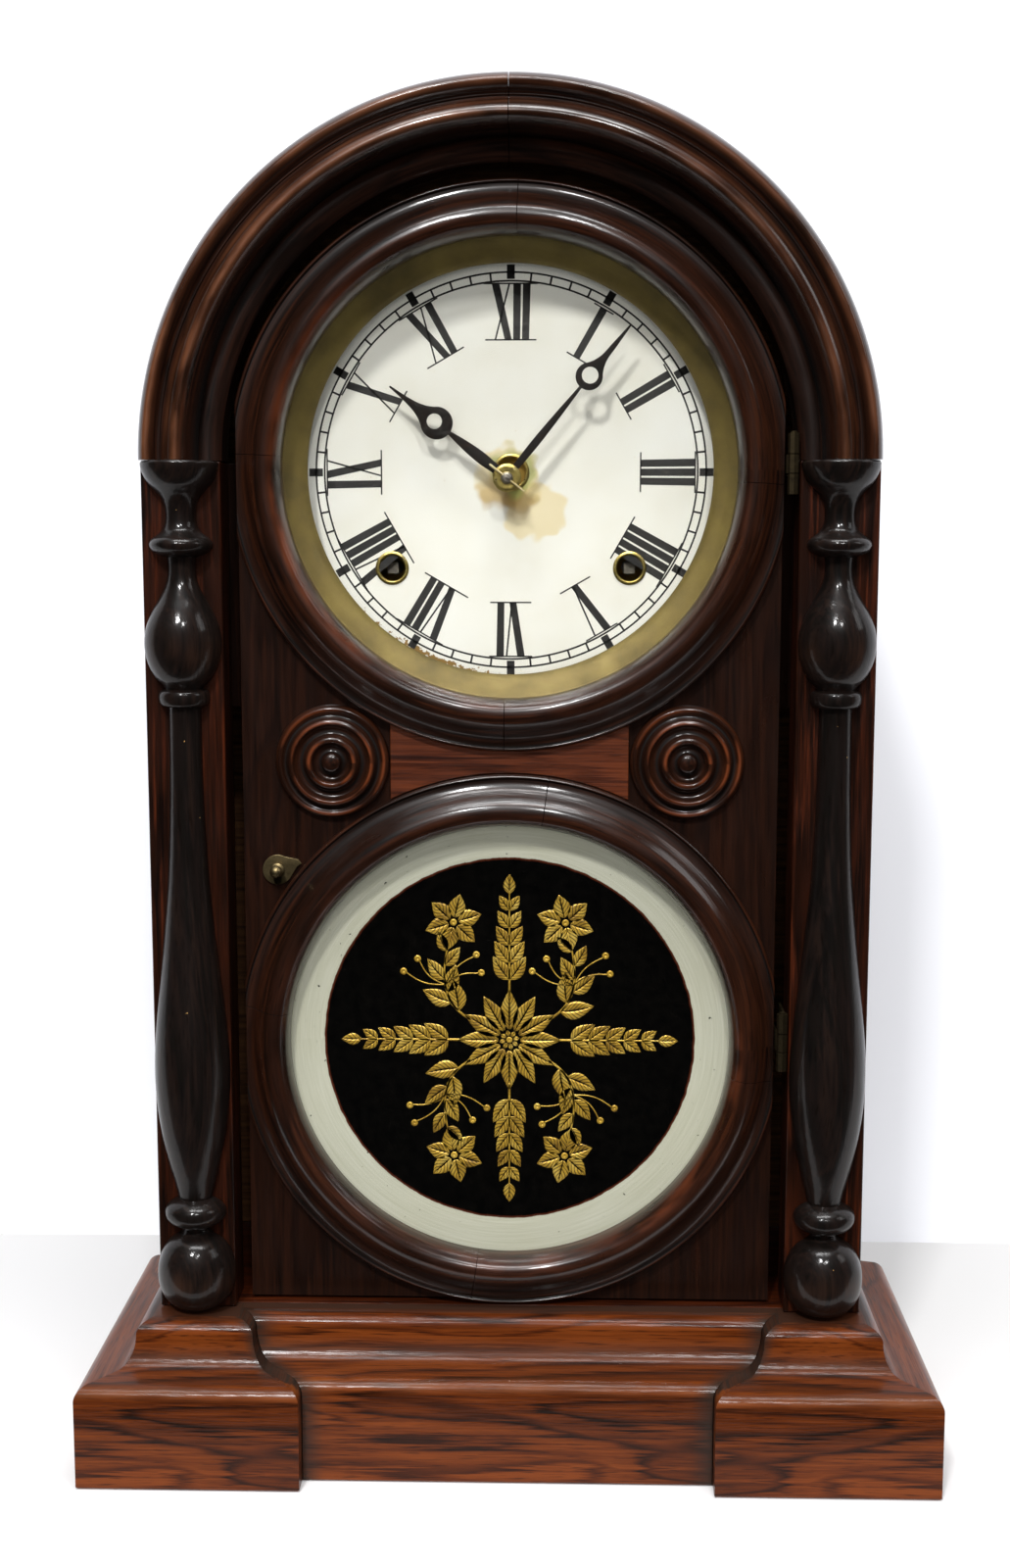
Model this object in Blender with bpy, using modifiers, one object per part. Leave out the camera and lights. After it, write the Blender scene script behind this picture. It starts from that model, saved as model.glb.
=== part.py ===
"""Round-top shelf clock: moulded base, arched case, turned half columns, glazed door and movement."""

import math

import bmesh
import bpy

# Sizes are in metres. The front of the clock faces -Y, and the base stands on z = 0.
GAP = 0.0003                    # joint line left between neighbouring pieces
RUNNING_GAP = 0.0003            # radial play of a turning piece

# Door rings and what they frame
RING_INNER_RADIUS = 0.0765
RING_WIDTH = 0.0179
RING_HEIGHT = 0.0105
RING_SPACING = 0.0080           # door board left between the two rings
RING_SIDE_TRIM = 0.0029         # the rings are planed flat at the door's edges
GLASS_LIP = 0.0035              # how far the ring covers the glass edge
GLASS_THICKNESS = 0.0020
ROSETTE_RADIUS = 0.0196
ROSETTE_HEIGHT = 0.0065
ROSETTE_CLEARANCE = 0.0016
BRIDGE_THICKNESS = 0.0015

# Door board
DOOR_EDGE_MARGIN = 0.0003       # door board past the planed ring edge
DOOR_THICKNESS = 0.0090
DOOR_RECESS = 0.0085            # door front behind the pilaster front
DOOR_BOTTOM_GAP = 0.0012
DOOR_TOP_MARGIN = 0.0005        # ring past the board at the arched top
DOOR_SIDE_GAP = 0.0045          # holds the hinge knuckle and leaves

# Case
PILASTER_WIDTH = 0.0267
PILASTER_THICKNESS = 0.0172
SIDE_THICKNESS = 0.0090
BACK_THICKNESS = 0.0060
CASE_DEPTH = 0.0880             # from the pilaster front to the back
ARCH_RISE = 0.0032              # spring line above the dial centre
ARCH_BEAD_HEIGHT = 0.0110       # bead crest in front of the pilasters
RAIL_WIDTH = 0.0290
RAIL_THICKNESS = 0.0100
RAIL_LENGTH = 0.0850

# Base
FRONT_STEP = 0.0320             # from the base front to the pilaster front
BASE_OVERHANG = 0.0240          # base past the case at each side
BASE_BOARD_THICKNESS = 0.0120
FASCIA_HEIGHT = 0.0360
ARRIS_RADIUS = 0.0050
STEP_WIDTH = 0.0120             # from the fascia to the foot of the cove
COVE_WIDTH = 0.0060
COVE_HEIGHT = 0.0115
ROUND_WIDTH = 0.0060
ROUND_HEIGHT = 0.0045
MOULDING_LAND = 0.0047          # flat top behind the rounded edge
BLOCK_WIDTH = 0.0766
CENTRE_SETBACK = 0.0079         # the middle of the base front behind its end blocks

# Half columns
COLUMN_CAP_RADIUS = 0.0131
COLUMN_SHAFT_RADIUS = 0.0056

# Hinges
HINGE_LENGTH = 0.0200
KNUCKLE_RADIUS = 0.0019
HINGE_PIN_RADIUS = 0.0008
LEAF_THICKNESS = 0.0008
HINGE_FORWARD = 0.0007          # pin axis behind the pilaster front
UPPER_HINGE_RISE = 0.0020       # above the dial centre
LOWER_HINGE_RISE = 0.0023       # above the tablet centre

# Latch
LATCH_PLATE_RADIUS = 0.0052
LATCH_PLATE_THICKNESS = 0.0008
LATCH_EDGE = 0.0116             # latch axis in from the door edge
LATCH_CLEARANCE = 0.0009        # between the latch plate and the tablet ring
LATCH_EAR = 0.0086              # reach of the plate's pointed ear
LATCH_SPINDLE_RADIUS = 0.0014
LATCH_KNOB_RADIUS = 0.0022
TONGUE_LENGTH = 0.0240
TONGUE_WIDTH = 0.0070
TONGUE_THICKNESS = 0.0016

# Dial
DIAL_MARGIN = 0.0080            # plate past the glass at the sides and top
DIAL_THICKNESS = 0.0008
DIAL_FOOT = 0.0018              # plate past the glass at the bottom
DIAL_BEHIND_DOOR = 0.0103
SIGHT_WIDTH = 0.0073            # brass showing inside the dial ring
SIGHT_WALL = 0.0008
SIGHT_PROUD = 0.0012            # brass past the back of the door
CENTRE_HOLE_RADIUS = 0.0051
WINDING_HOLE_RADIUS = 0.0045
GROMMET_WALL = 0.0004
GROMMET_FLANGE = 0.0013
GROMMET_THICKNESS = 0.0006
WINDING_X = 0.0413
WINDING_DROP = 0.0329           # winding arbors below the dial centre

# Hands
HUB_OFFSET_X = -0.0010          # the movement sits a little off the dial's hole
HUB_DROP = 0.0022
HAND_THICKNESS = 0.0006
HOUR_HAND_RISE = 0.0084         # hour hand's front before the dial
HAND_SPACING = 0.0045           # from the hour hand's front to the minute hand's
PIPE_PROUD = 0.0004             # hour pipe past the hour hand
HOUR_SHOULDER = 0.0041          # radius of the hour hand round its hole
MINUTE_SHOULDER = 0.0026
MINUTE_HAND_LENGTH = 0.0640
MINUTE_MOON_RADIUS = 0.0044
MINUTE_MOON_PLACE = 0.0436
HOUR_HAND_LENGTH = 0.0490
HOUR_MOON_RADIUS = 0.0051
HOUR_MOON_PLACE = 0.0304
MOON_HOLE_RADIUS = 0.0027
MINUTE_ANGLE = 39.4             # degrees clockwise from twelve
HOUR_ANGLE = 307.6
WASHER_RADIUS = 0.0048
TAPER_PIN_LENGTH = 0.0150
TAPER_PIN_RADIUS = 0.0004

# Movement
PLATE_THICKNESS = 0.0015
PLATE_SPACING = 0.0285
PLATE_HALF_WIDTH = 0.0560
PLATE_ABOVE_HUB = 0.0504
PLATE_BELOW_HUB = 0.0636
MOTION_DEPTH = 0.0134           # from the dial back to the front plate
PILLAR_RADIUS = 0.0030
ARBOR_RADIUS = 0.0012
ARBOR_END = 0.0010              # arbor past a plate, and stud short of the dial
PINION_MARGIN = 0.0004          # pinion past the wheel that it drives
HOUR_WHEEL_SETBACK = 0.0024     # behind the dial
MOTION_WHEEL_SPACING = 0.0046   # between the hour wheel and the minute wheel
SECOND_WHEEL_SETBACK = 0.0009   # behind the front plate
GREAT_WHEEL_SPACING = 0.0018    # between the second wheel and the great wheels
SPRING_SPACING = 0.0024         # between the great wheels and the springs
HOUR_PIPE_RADIUS = 0.0024
WHEEL_THICKNESS = 0.0012
MOTION_CENTRES = 0.0160         # hub to the minute wheel's stud
CANNON_TEETH = 8
MINUTE_WHEEL_TEETH = 24
MINUTE_PINION_TEETH = 8
HOUR_WHEEL_TEETH = 32
CENTRE_PINION_TEETH = 8
SECOND_WHEEL_TEETH = 40
SECOND_MODULE = 0.00095
SECOND_PINION_TEETH = 8
GREAT_WHEEL_TEETH = 48
GREAT_MODULE = 0.0011
GREAT_WHEEL_THICKNESS = 0.0018
WINDING_ARBOR_RADIUS = 0.0030
WINDING_JOURNAL_RADIUS = 0.0024
WINDING_HUB_RADIUS = 0.0040     # the spring's inner end hooks on it
WINDING_SQUARE = 0.0038
SQUARE_SETBACK = 0.0019         # the square's end behind the dial
SPRING_TURNS = 4
SPRING_STRIP = 0.0012
SPRING_WIDTH = 0.0170
SPRING_RADIUS = 0.0225
ESCAPE_TEETH = 24
ESCAPE_RADIUS = 0.0100
ESCAPE_DROP = 0.0380            # below the hub
ESCAPE_FORWARD = 0.0040         # the wheel's front before the front plate
ESCAPE_ARBOR_NOSE = 0.0008
VERGE_RISE = 0.0160             # verge pivot above the escape arbor
VERGE_REACH = 0.0105
VERGE_STRIP = 0.0016
VERGE_STUD_REACH = 0.0020       # stud past the pendulum's middle
COLLAR_WALL = 0.0012
CRUTCH_LENGTH = 0.0300
CRUTCH_HALF = 0.0006            # half the crutch wire
CRUTCH_SETBACK = 0.0018         # behind the pendulum's middle
FORK_HEIGHT = 0.0020
PENDULUM_SETBACK = 0.0044       # the rod's middle behind the dial
PENDULUM_LOOP_HALF = 0.0010     # half the depth of the rod's loop
PENDULUM_LENGTH = 0.1690        # from the pivot to the middle of the bob
PENDULUM_ROD_RADIUS = 0.0007
BOB_RADIUS = 0.0170
BOB_THICKNESS = 0.0080
NUT_RADIUS = 0.0030
NUT_HEIGHT = 0.0030

# Bell and hammer
BELL_RADIUS = 0.0250
BELL_DEPTH = 0.0180
BELL_WALL = 0.0014
BELL_BACK_SPACE = 0.0060        # from the bell's rim to the back board
BELL_SIDE = 0.0510              # bell axis to the left of the hub
BELL_DROP = 0.1256              # bell axis below the hub
BELL_POST_RADIUS = 0.0022
HAMMER_PIVOT_SIDE = 0.0160
HAMMER_PIVOT_DROP = 0.0586
HAMMER_HEAD_RADIUS = 0.0045
HAMMER_STRIKE_GAP = 0.0015
HAMMER_THICKNESS = 0.0028
HAMMER_ARM_HALF = 0.0009
HAMMER_HUB_RADIUS = 0.0026

# Facets around a full turn
FINE = 40
MEDIUM = 20
COARSE = 8

# Levels, worked out from the base upwards
BASE_HEIGHT = FASCIA_HEIGHT + COVE_HEIGHT + ROUND_HEIGHT
RING_OUTER_RADIUS = RING_INNER_RADIUS + RING_WIDTH
TABLET_Z = BASE_HEIGHT + DOOR_BOTTOM_GAP + RING_OUTER_RADIUS - DOOR_TOP_MARGIN
DIAL_Z = TABLET_Z + 2 * RING_OUTER_RADIUS + RING_SPACING
SPRING_Z = DIAL_Z + ARCH_RISE
DOOR_BOTTOM_Z = BASE_HEIGHT + DOOR_BOTTOM_GAP
HUB_Z = DIAL_Z - HUB_DROP
HUB_X = HUB_OFFSET_X
WINDING_Z = DIAL_Z - WINDING_DROP

# Half widths
RING_HALF = RING_OUTER_RADIUS - RING_SIDE_TRIM
DOOR_HALF = RING_HALF + DOOR_EDGE_MARGIN
OPENING_HALF = DOOR_HALF + DOOR_SIDE_GAP
CASE_HALF = OPENING_HALF + PILASTER_WIDTH
BASE_HALF = CASE_HALF + BASE_OVERHANG
SIDE_INNER = CASE_HALF - SIDE_THICKNESS
COLUMN_X = OPENING_HALF + PILASTER_WIDTH / 2
BLOCK_INNER_X = BASE_HALF - BLOCK_WIDTH

# Depths, front to back
BASE_DEPTH = FRONT_STEP + CASE_DEPTH
BASE_FRONT = -BASE_DEPTH / 2
BASE_BACK = BASE_DEPTH / 2
PILASTER_FRONT = BASE_FRONT + FRONT_STEP
PILASTER_BACK = PILASTER_FRONT + PILASTER_THICKNESS
CENTRE_FRONT = BASE_FRONT + CENTRE_SETBACK
BOARD_FRONT = CENTRE_FRONT + STEP_WIDTH + COVE_WIDTH + ROUND_WIDTH + MOULDING_LAND
DOOR_FRONT = PILASTER_FRONT + DOOR_RECESS
DOOR_BACK = DOOR_FRONT + DOOR_THICKNESS
CASE_BACK = BASE_BACK - BACK_THICKNESS
DIAL_FRONT = DOOR_BACK + DIAL_BEHIND_DOOR
DIAL_BACK = DIAL_FRONT + DIAL_THICKNESS
RING_BACK = DOOR_FRONT - GAP
GLASS_RADIUS = RING_INNER_RADIUS + GLASS_LIP
SIGHT_RADIUS = RING_INNER_RADIUS - SIGHT_WIDTH
DIAL_RADIUS = GLASS_RADIUS + DIAL_MARGIN
DIAL_DROP = GLASS_RADIUS + DIAL_FOOT
PLATE_FRONT = DIAL_BACK + MOTION_DEPTH
TRAIN_FRONT = PLATE_FRONT + PLATE_THICKNESS
TRAIN_BACK = TRAIN_FRONT + PLATE_SPACING
PLATE_BACK = TRAIN_BACK + PLATE_THICKNESS
HOUR_HAND_FRONT = DIAL_FRONT - HOUR_HAND_RISE
MINUTE_HAND_FRONT = HOUR_HAND_FRONT - HAND_SPACING
WASHER_FRONT = MINUTE_HAND_FRONT - GAP - HAND_THICKNESS
TAPER_PIN_Y = WASHER_FRONT - GAP - TAPER_PIN_RADIUS
PENDULUM_Y = DIAL_BACK + PENDULUM_SETBACK
HAMMER_FRONT = PLATE_BACK + GAP


def clear_scene():
    for item in list(bpy.data.objects):
        bpy.data.objects.remove(item, do_unlink=True)


clear_scene()
CLOCK = bpy.data.collections.new("shelf_clock")
CUTTERS = bpy.data.collections.new("cutters")
for group in (CLOCK, CUTTERS):
    bpy.context.scene.collection.children.link(group)


def material(name, colour, roughness, metallic=0.0):
    made = bpy.data.materials.new(name)
    made.use_nodes = True
    shader = made.node_tree.nodes["Principled BSDF"]
    shader.inputs["Base Color"].default_value = (*colour, 1.0)
    shader.inputs["Roughness"].default_value = roughness
    shader.inputs["Metallic"].default_value = metallic
    return made


ROSEWOOD = ("rosewood", (0.14, 0.035, 0.018), 0.35, 0.0)
DARK_WOOD = ("dark_wood", (0.035, 0.013, 0.009), 0.35, 0.0)
EBONISED = ("ebonised_wood", (0.013, 0.009, 0.008), 0.3, 0.0)
PINE = ("pine", (0.35, 0.2, 0.1), 0.7, 0.0)
GLASS = ("glass", (0.9, 0.93, 0.92), 0.05, 0.0)
PAINTED_GLASS = ("painted_glass", (0.01, 0.01, 0.01), 0.08, 0.0)
BRASS = ("brass", (0.45, 0.33, 0.1), 0.35, 1.0)
STEEL = ("steel", (0.25, 0.24, 0.23), 0.4, 1.0)
PAINTED_ZINC = ("painted_zinc", (0.85, 0.82, 0.7), 0.5, 0.0)
BLUED_STEEL = ("blued_steel", (0.02, 0.012, 0.01), 0.35, 0.6)


def keep(item, look):
    """Names the piece's own material after it and puts the piece in the clock's collection."""
    name, colour, roughness, metallic = look
    item.data.materials.clear()
    item.data.materials.append(material(f"{item.name}_{name}", colour, roughness, metallic))
    CLOCK.objects.link(item)
    return item


def as_cutter(item):
    item.hide_render = True
    item.display_type = "WIRE"
    CUTTERS.objects.link(item)
    return item


def boolean(target, tool, operation):
    step = target.modifiers.new(f"{operation}_{tool.name}".lower(), "BOOLEAN")
    step.operation = operation
    step.solver = "EXACT"
    step.object = tool
    if not tool.users_collection:
        as_cutter(tool)
    return target


def cut(target, tool):
    return boolean(target, tool, "DIFFERENCE")


def common(target, tool):
    return boolean(target, tool, "INTERSECT")


def unite(target, tool):
    return boolean(target, tool, "UNION")


def box(name, low, high):
    """A block between two corners, with its origin in its middle."""
    mesh = bpy.data.meshes.new(name)
    work = bmesh.new()
    bmesh.ops.create_cube(work, size=1.0)
    size = [b - a for a, b in zip(low, high)]
    bmesh.ops.scale(work, vec=size, verts=work.verts)
    work.to_mesh(mesh)
    work.free()
    item = bpy.data.objects.new(name, mesh)
    item.location = [(a + b) / 2 for a, b in zip(low, high)]
    return item


def rod(name, radius, start, end, x, z, sides=COARSE):
    """A round bar along Y from start to end."""
    return turned(name, [(0, -start), (radius, -start), (radius, -end), (0, -end)], (x, 0, z), sides)


def turned(name, profile, place, sides, upright=False, closed=False):
    """A turning of (radius, height) points, read down the outer side. Height runs to the front, or up."""
    mesh = bpy.data.meshes.new(name)
    count = len(profile)
    edges = [(i, i + 1) for i in range(count - 1)]
    if closed:
        edges.append((count - 1, 0))
    mesh.from_pydata([(r, 0, h) for r, h in profile], edges, [])
    item = bpy.data.objects.new(name, mesh)
    item.location = place
    if not upright:
        item.rotation_euler = (math.pi / 2, 0, 0)
    screw = item.modifiers.new("turn", "SCREW")
    screw.axis = "Z"
    screw.angle = 2 * math.pi
    screw.steps = sides
    screw.render_steps = sides
    screw.use_merge_vertices = True
    screw.merge_threshold = 0.00001
    screw.use_smooth_shade = True
    return item


def outline(name, loops, front, back, x=0.0, z=0.0):
    """A flat plate of (x, z) outlines, the first one outside and the rest holes, from front to back."""
    flat = bpy.data.curves.new(name, "CURVE")
    flat.dimensions = "2D"
    flat.fill_mode = "BOTH"
    flat.extrude = (back - front) / 2
    for points in loops:
        spline = flat.splines.new("POLY")
        spline.points.add(len(points) - 1)
        spline.use_cyclic_u = True
        for point, (px, pz) in zip(spline.points, points):
            point.co = (px, pz, 0, 1)
    item = bpy.data.objects.new(name, flat)
    item.location = (x, (front + back) / 2, z)
    item.rotation_euler = (math.pi / 2, 0, 0)
    return as_mesh(item)


def extrude_along_x(name, points, low, high):
    """A bar of (y, z) outline between two x places."""
    item = outline(name, [points], low, high)
    item.rotation_euler = (math.pi / 2, 0, math.pi / 2)
    item.location = ((low + high) / 2, 0, 0)
    return item


def as_mesh(curve):
    """Turns a filled curve into a welded mesh object in the same place."""
    scene = bpy.context.scene.collection
    scene.objects.link(curve)
    bpy.context.view_layer.update()
    seen = curve.evaluated_get(bpy.context.evaluated_depsgraph_get())
    mesh = bpy.data.meshes.new_from_object(seen)
    work = bmesh.new()
    work.from_mesh(mesh)
    bmesh.ops.remove_doubles(work, verts=work.verts, dist=0.000001)
    bmesh.ops.recalc_face_normals(work, faces=work.faces)
    work.to_mesh(mesh)
    work.free()
    name = curve.name
    place, turn = curve.location.copy(), curve.rotation_euler.copy()
    bpy.data.objects.remove(curve, do_unlink=True)
    item = bpy.data.objects.new(name, mesh)
    item.location = place
    item.rotation_euler = turn
    return item


def circle(radius, sides, x=0.0, z=0.0):
    return arc(radius, 0, 360 - 360 / sides, sides - 1, x, z)


def arc(radius, start, end, steps, x=0.0, z=0.0):
    """Points on a circle, in degrees from +X towards +Z."""
    angles = [math.radians(start + (end - start) * i / steps) for i in range(steps + 1)]
    return [(x + radius * math.cos(a), z + radius * math.sin(a)) for a in angles]


def turned_by(points, degrees):
    """Points turned clockwise as seen from the front."""
    a = math.radians(degrees)
    return [(x * math.cos(a) + z * math.sin(a), z * math.cos(a) - x * math.sin(a)) for x, z in points]


def pivot(name, place):
    """An empty on a joint's axis, which carries the moving pieces."""
    axis = bpy.data.objects.new(name, None)
    axis.location = place
    axis.empty_display_size = 0.02
    CLOCK.objects.link(axis)
    return axis


def carry(axis, pieces):
    bpy.context.view_layer.update()
    for piece in pieces:
        piece.parent = axis
        piece.matrix_parent_inverse = axis.matrix_world.inverted()


# Base


def base_section():
    """Half section (inset, height): fascia, rounded arris, step, cove and rounded top edge."""
    points = [(0, 0)]
    for i in range(4):
        a = math.radians(30 * i)
        points.append((ARRIS_RADIUS * (1 - math.cos(a)),
                       FASCIA_HEIGHT - ARRIS_RADIUS * (1 - math.sin(a))))
    for i in range(5):
        a = math.radians(22.5 * i)
        points.append((STEP_WIDTH + COVE_WIDTH * math.sin(a),
                       FASCIA_HEIGHT + COVE_HEIGHT * (1 - math.cos(a))))
    for i in range(1, 4):
        a = math.radians(30 * i)
        points.append((STEP_WIDTH + COVE_WIDTH + ROUND_WIDTH * (1 - math.cos(a)),
                       BASE_HEIGHT - ROUND_HEIGHT * (1 - math.sin(a))))
    return points


def build_base():
    section = base_section()
    inset = section[-1][0]
    wall = inset + MOULDING_LAND
    front_bar = [(BASE_FRONT + s, z) for s, z in section]
    front_bar += [(BASE_BACK, BASE_HEIGHT), (BASE_BACK, 0)]
    tall = [(0, -wall)] + section[1:] + [(inset, BASE_HEIGHT + wall)]
    for side, sign in (("left", -1), ("right", 1)):
        inner, outer = sorted((sign * (BLOCK_INNER_X - inset), sign * (BASE_HALF + inset)))
        block = extrude_along_x(f"base_moulding_{side}", front_bar, inner, outer)
        across = [(sign * (BASE_HALF - s), z) for s, z in tall]
        across += [(sign * (BLOCK_INNER_X + s), z) for s, z in reversed(tall)]
        common(block, outline(f"block_section_{side}", [across], BASE_FRONT - wall, BASE_BACK + wall))
        hollow = sorted((0.0, sign * (BASE_HALF - wall)))
        cut(block, box(f"block_hollow_{side}", (hollow[0], BOARD_FRONT - GAP, -wall),
                       (hollow[1], BASE_BACK + wall, BASE_HEIGHT + wall)))
        keep(block, ROSEWOOD)
    centre_bar = [(CENTRE_FRONT + s, z) for s, z in section]
    centre_bar += [(BOARD_FRONT - GAP, BASE_HEIGHT), (BOARD_FRONT - GAP, 0)]
    half = BLOCK_INNER_X - GAP
    centre = extrude_along_x("base_front_moulding", centre_bar, -half - wall, half + wall)
    between = [(half + s, z) for s, z in tall] + [(-half - s, z) for s, z in reversed(tall)]
    common(centre, outline("centre_section", [between], BASE_FRONT, BASE_BACK))
    keep(centre, ROSEWOOD)
    half = BASE_HALF - wall - GAP
    keep(box("base_board", (-half, BOARD_FRONT, BASE_HEIGHT - BASE_BOARD_THICKNESS),
             (half, BASE_BACK, BASE_HEIGHT)), PINE)


# Case


def arch_section():
    """Closed section (radius, height before the pilaster front) of the arch: two beads and a coved step."""
    outer, inner = CASE_HALF, OPENING_HALF
    width = outer - inner
    bead = 0.36 * width
    second = 0.40 * width
    top = ARCH_BEAD_HEIGHT
    points = []
    for i in range(6):
        a = math.radians(180 - 36 * i)
        points.append((inner + (width - bead - second) + second * (1 + math.cos(a)) / 2,
                       0.2 * top + 0.8 * top * math.sin(a)))
    for i in range(1, 6):
        a = math.radians(150 - 30 * i)
        points.append((outer - bead * (1 - math.cos(a)) / 2 if a > 0 else outer,
                       0.25 * top + 0.55 * top * math.sin(a)))
    step = 0.35 * (width - bead - second)
    face = [(inner, -0.35 * top), (inner + step, -0.35 * top), (inner + step, -0.1 * top)]
    return face + points + [(outer, -PILASTER_THICKNESS), (inner, -PILASTER_THICKNESS)]


def build_case():
    top = SPRING_Z - GAP
    foot = BASE_HEIGHT + GAP
    for side, sign in (("left", -1), ("right", 1)):
        near, far = sorted((sign * SIDE_INNER, sign * CASE_HALF))
        keep(box(f"side_{side}", (near, PILASTER_BACK + GAP, foot), (far, CASE_BACK - GAP, top)), ROSEWOOD)
        near, far = sorted((sign * OPENING_HALF, sign * CASE_HALF))
        keep(box(f"pilaster_{side}", (near, PILASTER_FRONT, foot), (far, PILASTER_BACK, top)), ROSEWOOD)
        moulding = turned(f"arch_moulding_{side}", arch_section(), (0, PILASTER_FRONT, SPRING_Z),
                          FINE, closed=True)
        quarter = sorted((sign * GAP / 2, sign * 2 * CASE_HALF))
        common(moulding, box(f"arch_quarter_{side}", (quarter[0], -BASE_DEPTH, SPRING_Z),
                             (quarter[1], BASE_DEPTH, SPRING_Z + 2 * CASE_HALF)))
        keep(moulding, DARK_WOOD)
        inner = SIDE_INNER - GAP
        near, far = sorted((sign * (inner - RAIL_WIDTH), sign * inner))
        keep(box(f"dial_rail_{side}", (near, DIAL_BACK + GAP, DIAL_Z - DIAL_DROP),
                 (far, DIAL_BACK + GAP + RAIL_THICKNESS, DIAL_Z - DIAL_DROP + RAIL_LENGTH)), PINE)
    hoop = arc(CASE_HALF, 0, 180, MEDIUM, z=SPRING_Z) + arc(SIDE_INNER, 180, 0, MEDIUM, z=SPRING_Z)
    keep(outline("arch_shell", [hoop], PILASTER_BACK + GAP, CASE_BACK - GAP), ROSEWOOD)
    board = [(-CASE_HALF, foot), (CASE_HALF, foot)] + arc(CASE_HALF, 0, 180, MEDIUM, z=SPRING_Z)
    keep(outline("back_board", [board], CASE_BACK, BASE_BACK), PINE)


def column_profile():
    """Half column from its ball foot to its cap; only the shaft changes with the column's length."""
    cap, shaft = COLUMN_CAP_RADIUS, COLUMN_SHAFT_RADIUS
    bottom, top = BASE_HEIGHT + GAP, SPRING_Z - GAP
    ball = 1.06 * cap
    neck = 0.7 * shaft
    bead = 0.83 * cap
    low = bottom
    ball_top = low + 2 * ball
    points = [(0, low)]
    points += [(ball * math.sin(math.radians(a)), low + ball * (1 - math.cos(math.radians(a))))
               for a in (22, 45, 68, 90, 112, 135, 155)]
    points += [(neck, ball_top + 0.1 * ball), (bead, ball_top + 0.36 * ball), (bead, ball_top + 0.72 * ball)]
    foot = ball_top + 1.0 * ball
    belly_top = foot + 8.3 * ball
    points += [(shaft * 1.1, foot)]
    belly = ((0.05, 1.3), (0.13, 1.85), (0.24, 2.25), (0.36, 2.35), (0.5, 2.1), (0.65, 1.72), (0.82, 1.33))
    points += [(shaft * r, foot + (belly_top - foot) * t) for t, r in belly]
    points.append((shaft * 1.1, belly_top))
    turn = top - 5.8 * cap
    points += [(shaft, turn - 0.55 * cap), (0.66 * cap, turn - 0.45 * cap), (0.66 * cap, turn - 0.12 * cap),
               (0.5 * cap, turn)]
    bulb_top = turn + 2.6 * cap
    bulb = ((0.13, 0.8), (0.28, 0.97), (0.42, 1.0), (0.56, 0.96), (0.72, 0.75), (0.86, 0.5))
    points += [(cap * r, turn + (bulb_top - turn) * t) for t, r in bulb]
    points += [(0.35 * cap, bulb_top + 0.3 * cap), (0.82 * cap, bulb_top + 0.6 * cap),
               (0.82 * cap, bulb_top + 0.9 * cap), (0.42 * cap, bulb_top + 1.3 * cap),
               (0.4 * cap, top - 1.25 * cap), (0.55 * cap, top - 0.8 * cap), (0.82 * cap, top - 0.4 * cap),
               (cap, top - 0.2 * cap), (cap, top), (0, top)]
    return list(reversed(points))


def build_columns():
    profile = column_profile()
    for side, sign in (("left", -1), ("right", 1)):
        place = (sign * COLUMN_X, PILASTER_FRONT - GAP, 0)
        column = turned(f"column_{side}", profile, place, MEDIUM, upright=True)
        wide = 2 * COLUMN_CAP_RADIUS
        cut(column, box(f"column_flat_{side}", (place[0] - wide, PILASTER_FRONT - GAP, 0),
                        (place[0] + wide, PILASTER_FRONT + wide, SPRING_Z + wide)))
        keep(column, EBONISED)


# Door


def ring_section():
    """Closed section (radius, height) of a door ring: crown by the glass, cove, and a fine outer bead."""
    inner, outer, top = RING_INNER_RADIUS, RING_OUTER_RADIUS, RING_HEIGHT
    width = outer - inner
    shape = ((0.0, 0.35), (0.06, 0.72), (0.16, 0.94), (0.27, 1.0), (0.4, 0.9), (0.55, 0.6), (0.7, 0.4),
             (0.8, 0.37), (0.86, 0.46), (0.93, 0.45), (1.0, 0.3))
    return [(inner + width * t, top * h) for t, h in shape] + [(outer, 0), (inner, 0)]


def rosette_profile():
    """Turned rosette (radius, height): a centre button inside two ridges."""
    r, h = ROSETTE_RADIUS, ROSETTE_HEIGHT
    shape = ((0, 1.0), (0.14, 0.92), (0.22, 0.55), (0.3, 0.5), (0.38, 0.88), (0.45, 0.8), (0.53, 0.42),
             (0.62, 0.45), (0.69, 0.78), (0.76, 0.7), (0.82, 0.36), (0.9, 0.45), (0.97, 0.36), (1.0, 0.15),
             (1.0, 0), (0, 0))
    return [(r * t, h * k) for t, k in shape]


def rosette_place():
    """The rosettes sit midway between the rings, clear of both."""
    half = (DIAL_Z - TABLET_Z) / 2
    reach = RING_OUTER_RADIUS + ROSETTE_RADIUS + ROSETTE_CLEARANCE
    return math.sqrt(reach ** 2 - half ** 2), TABLET_Z + half


def bridge_outline():
    """Veneer between the rosettes, bounded by the two rings' edges."""
    x, z = rosette_place()
    half = z - TABLET_Z
    radius = RING_OUTER_RADIUS + GAP
    end = x - ROSETTE_RADIUS - GAP
    angle = math.degrees(math.asin(end / radius))
    lower = [(px, pz - half) for px, pz in arc(radius, 90 + angle, 90 - angle, 14)]
    upper = [(px, half - pz) for px, pz in arc(radius, 90 - angle, 90 + angle, 14)]
    return lower + upper


def latch_place():
    """The latch sits by the door's left edge, just clear of the tablet ring."""
    across = DOOR_HALF - LATCH_EDGE
    reach = RING_OUTER_RADIUS + LATCH_CLEARANCE + LATCH_PLATE_RADIUS
    return -across, TABLET_Z + math.sqrt(reach ** 2 - across ** 2)


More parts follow.
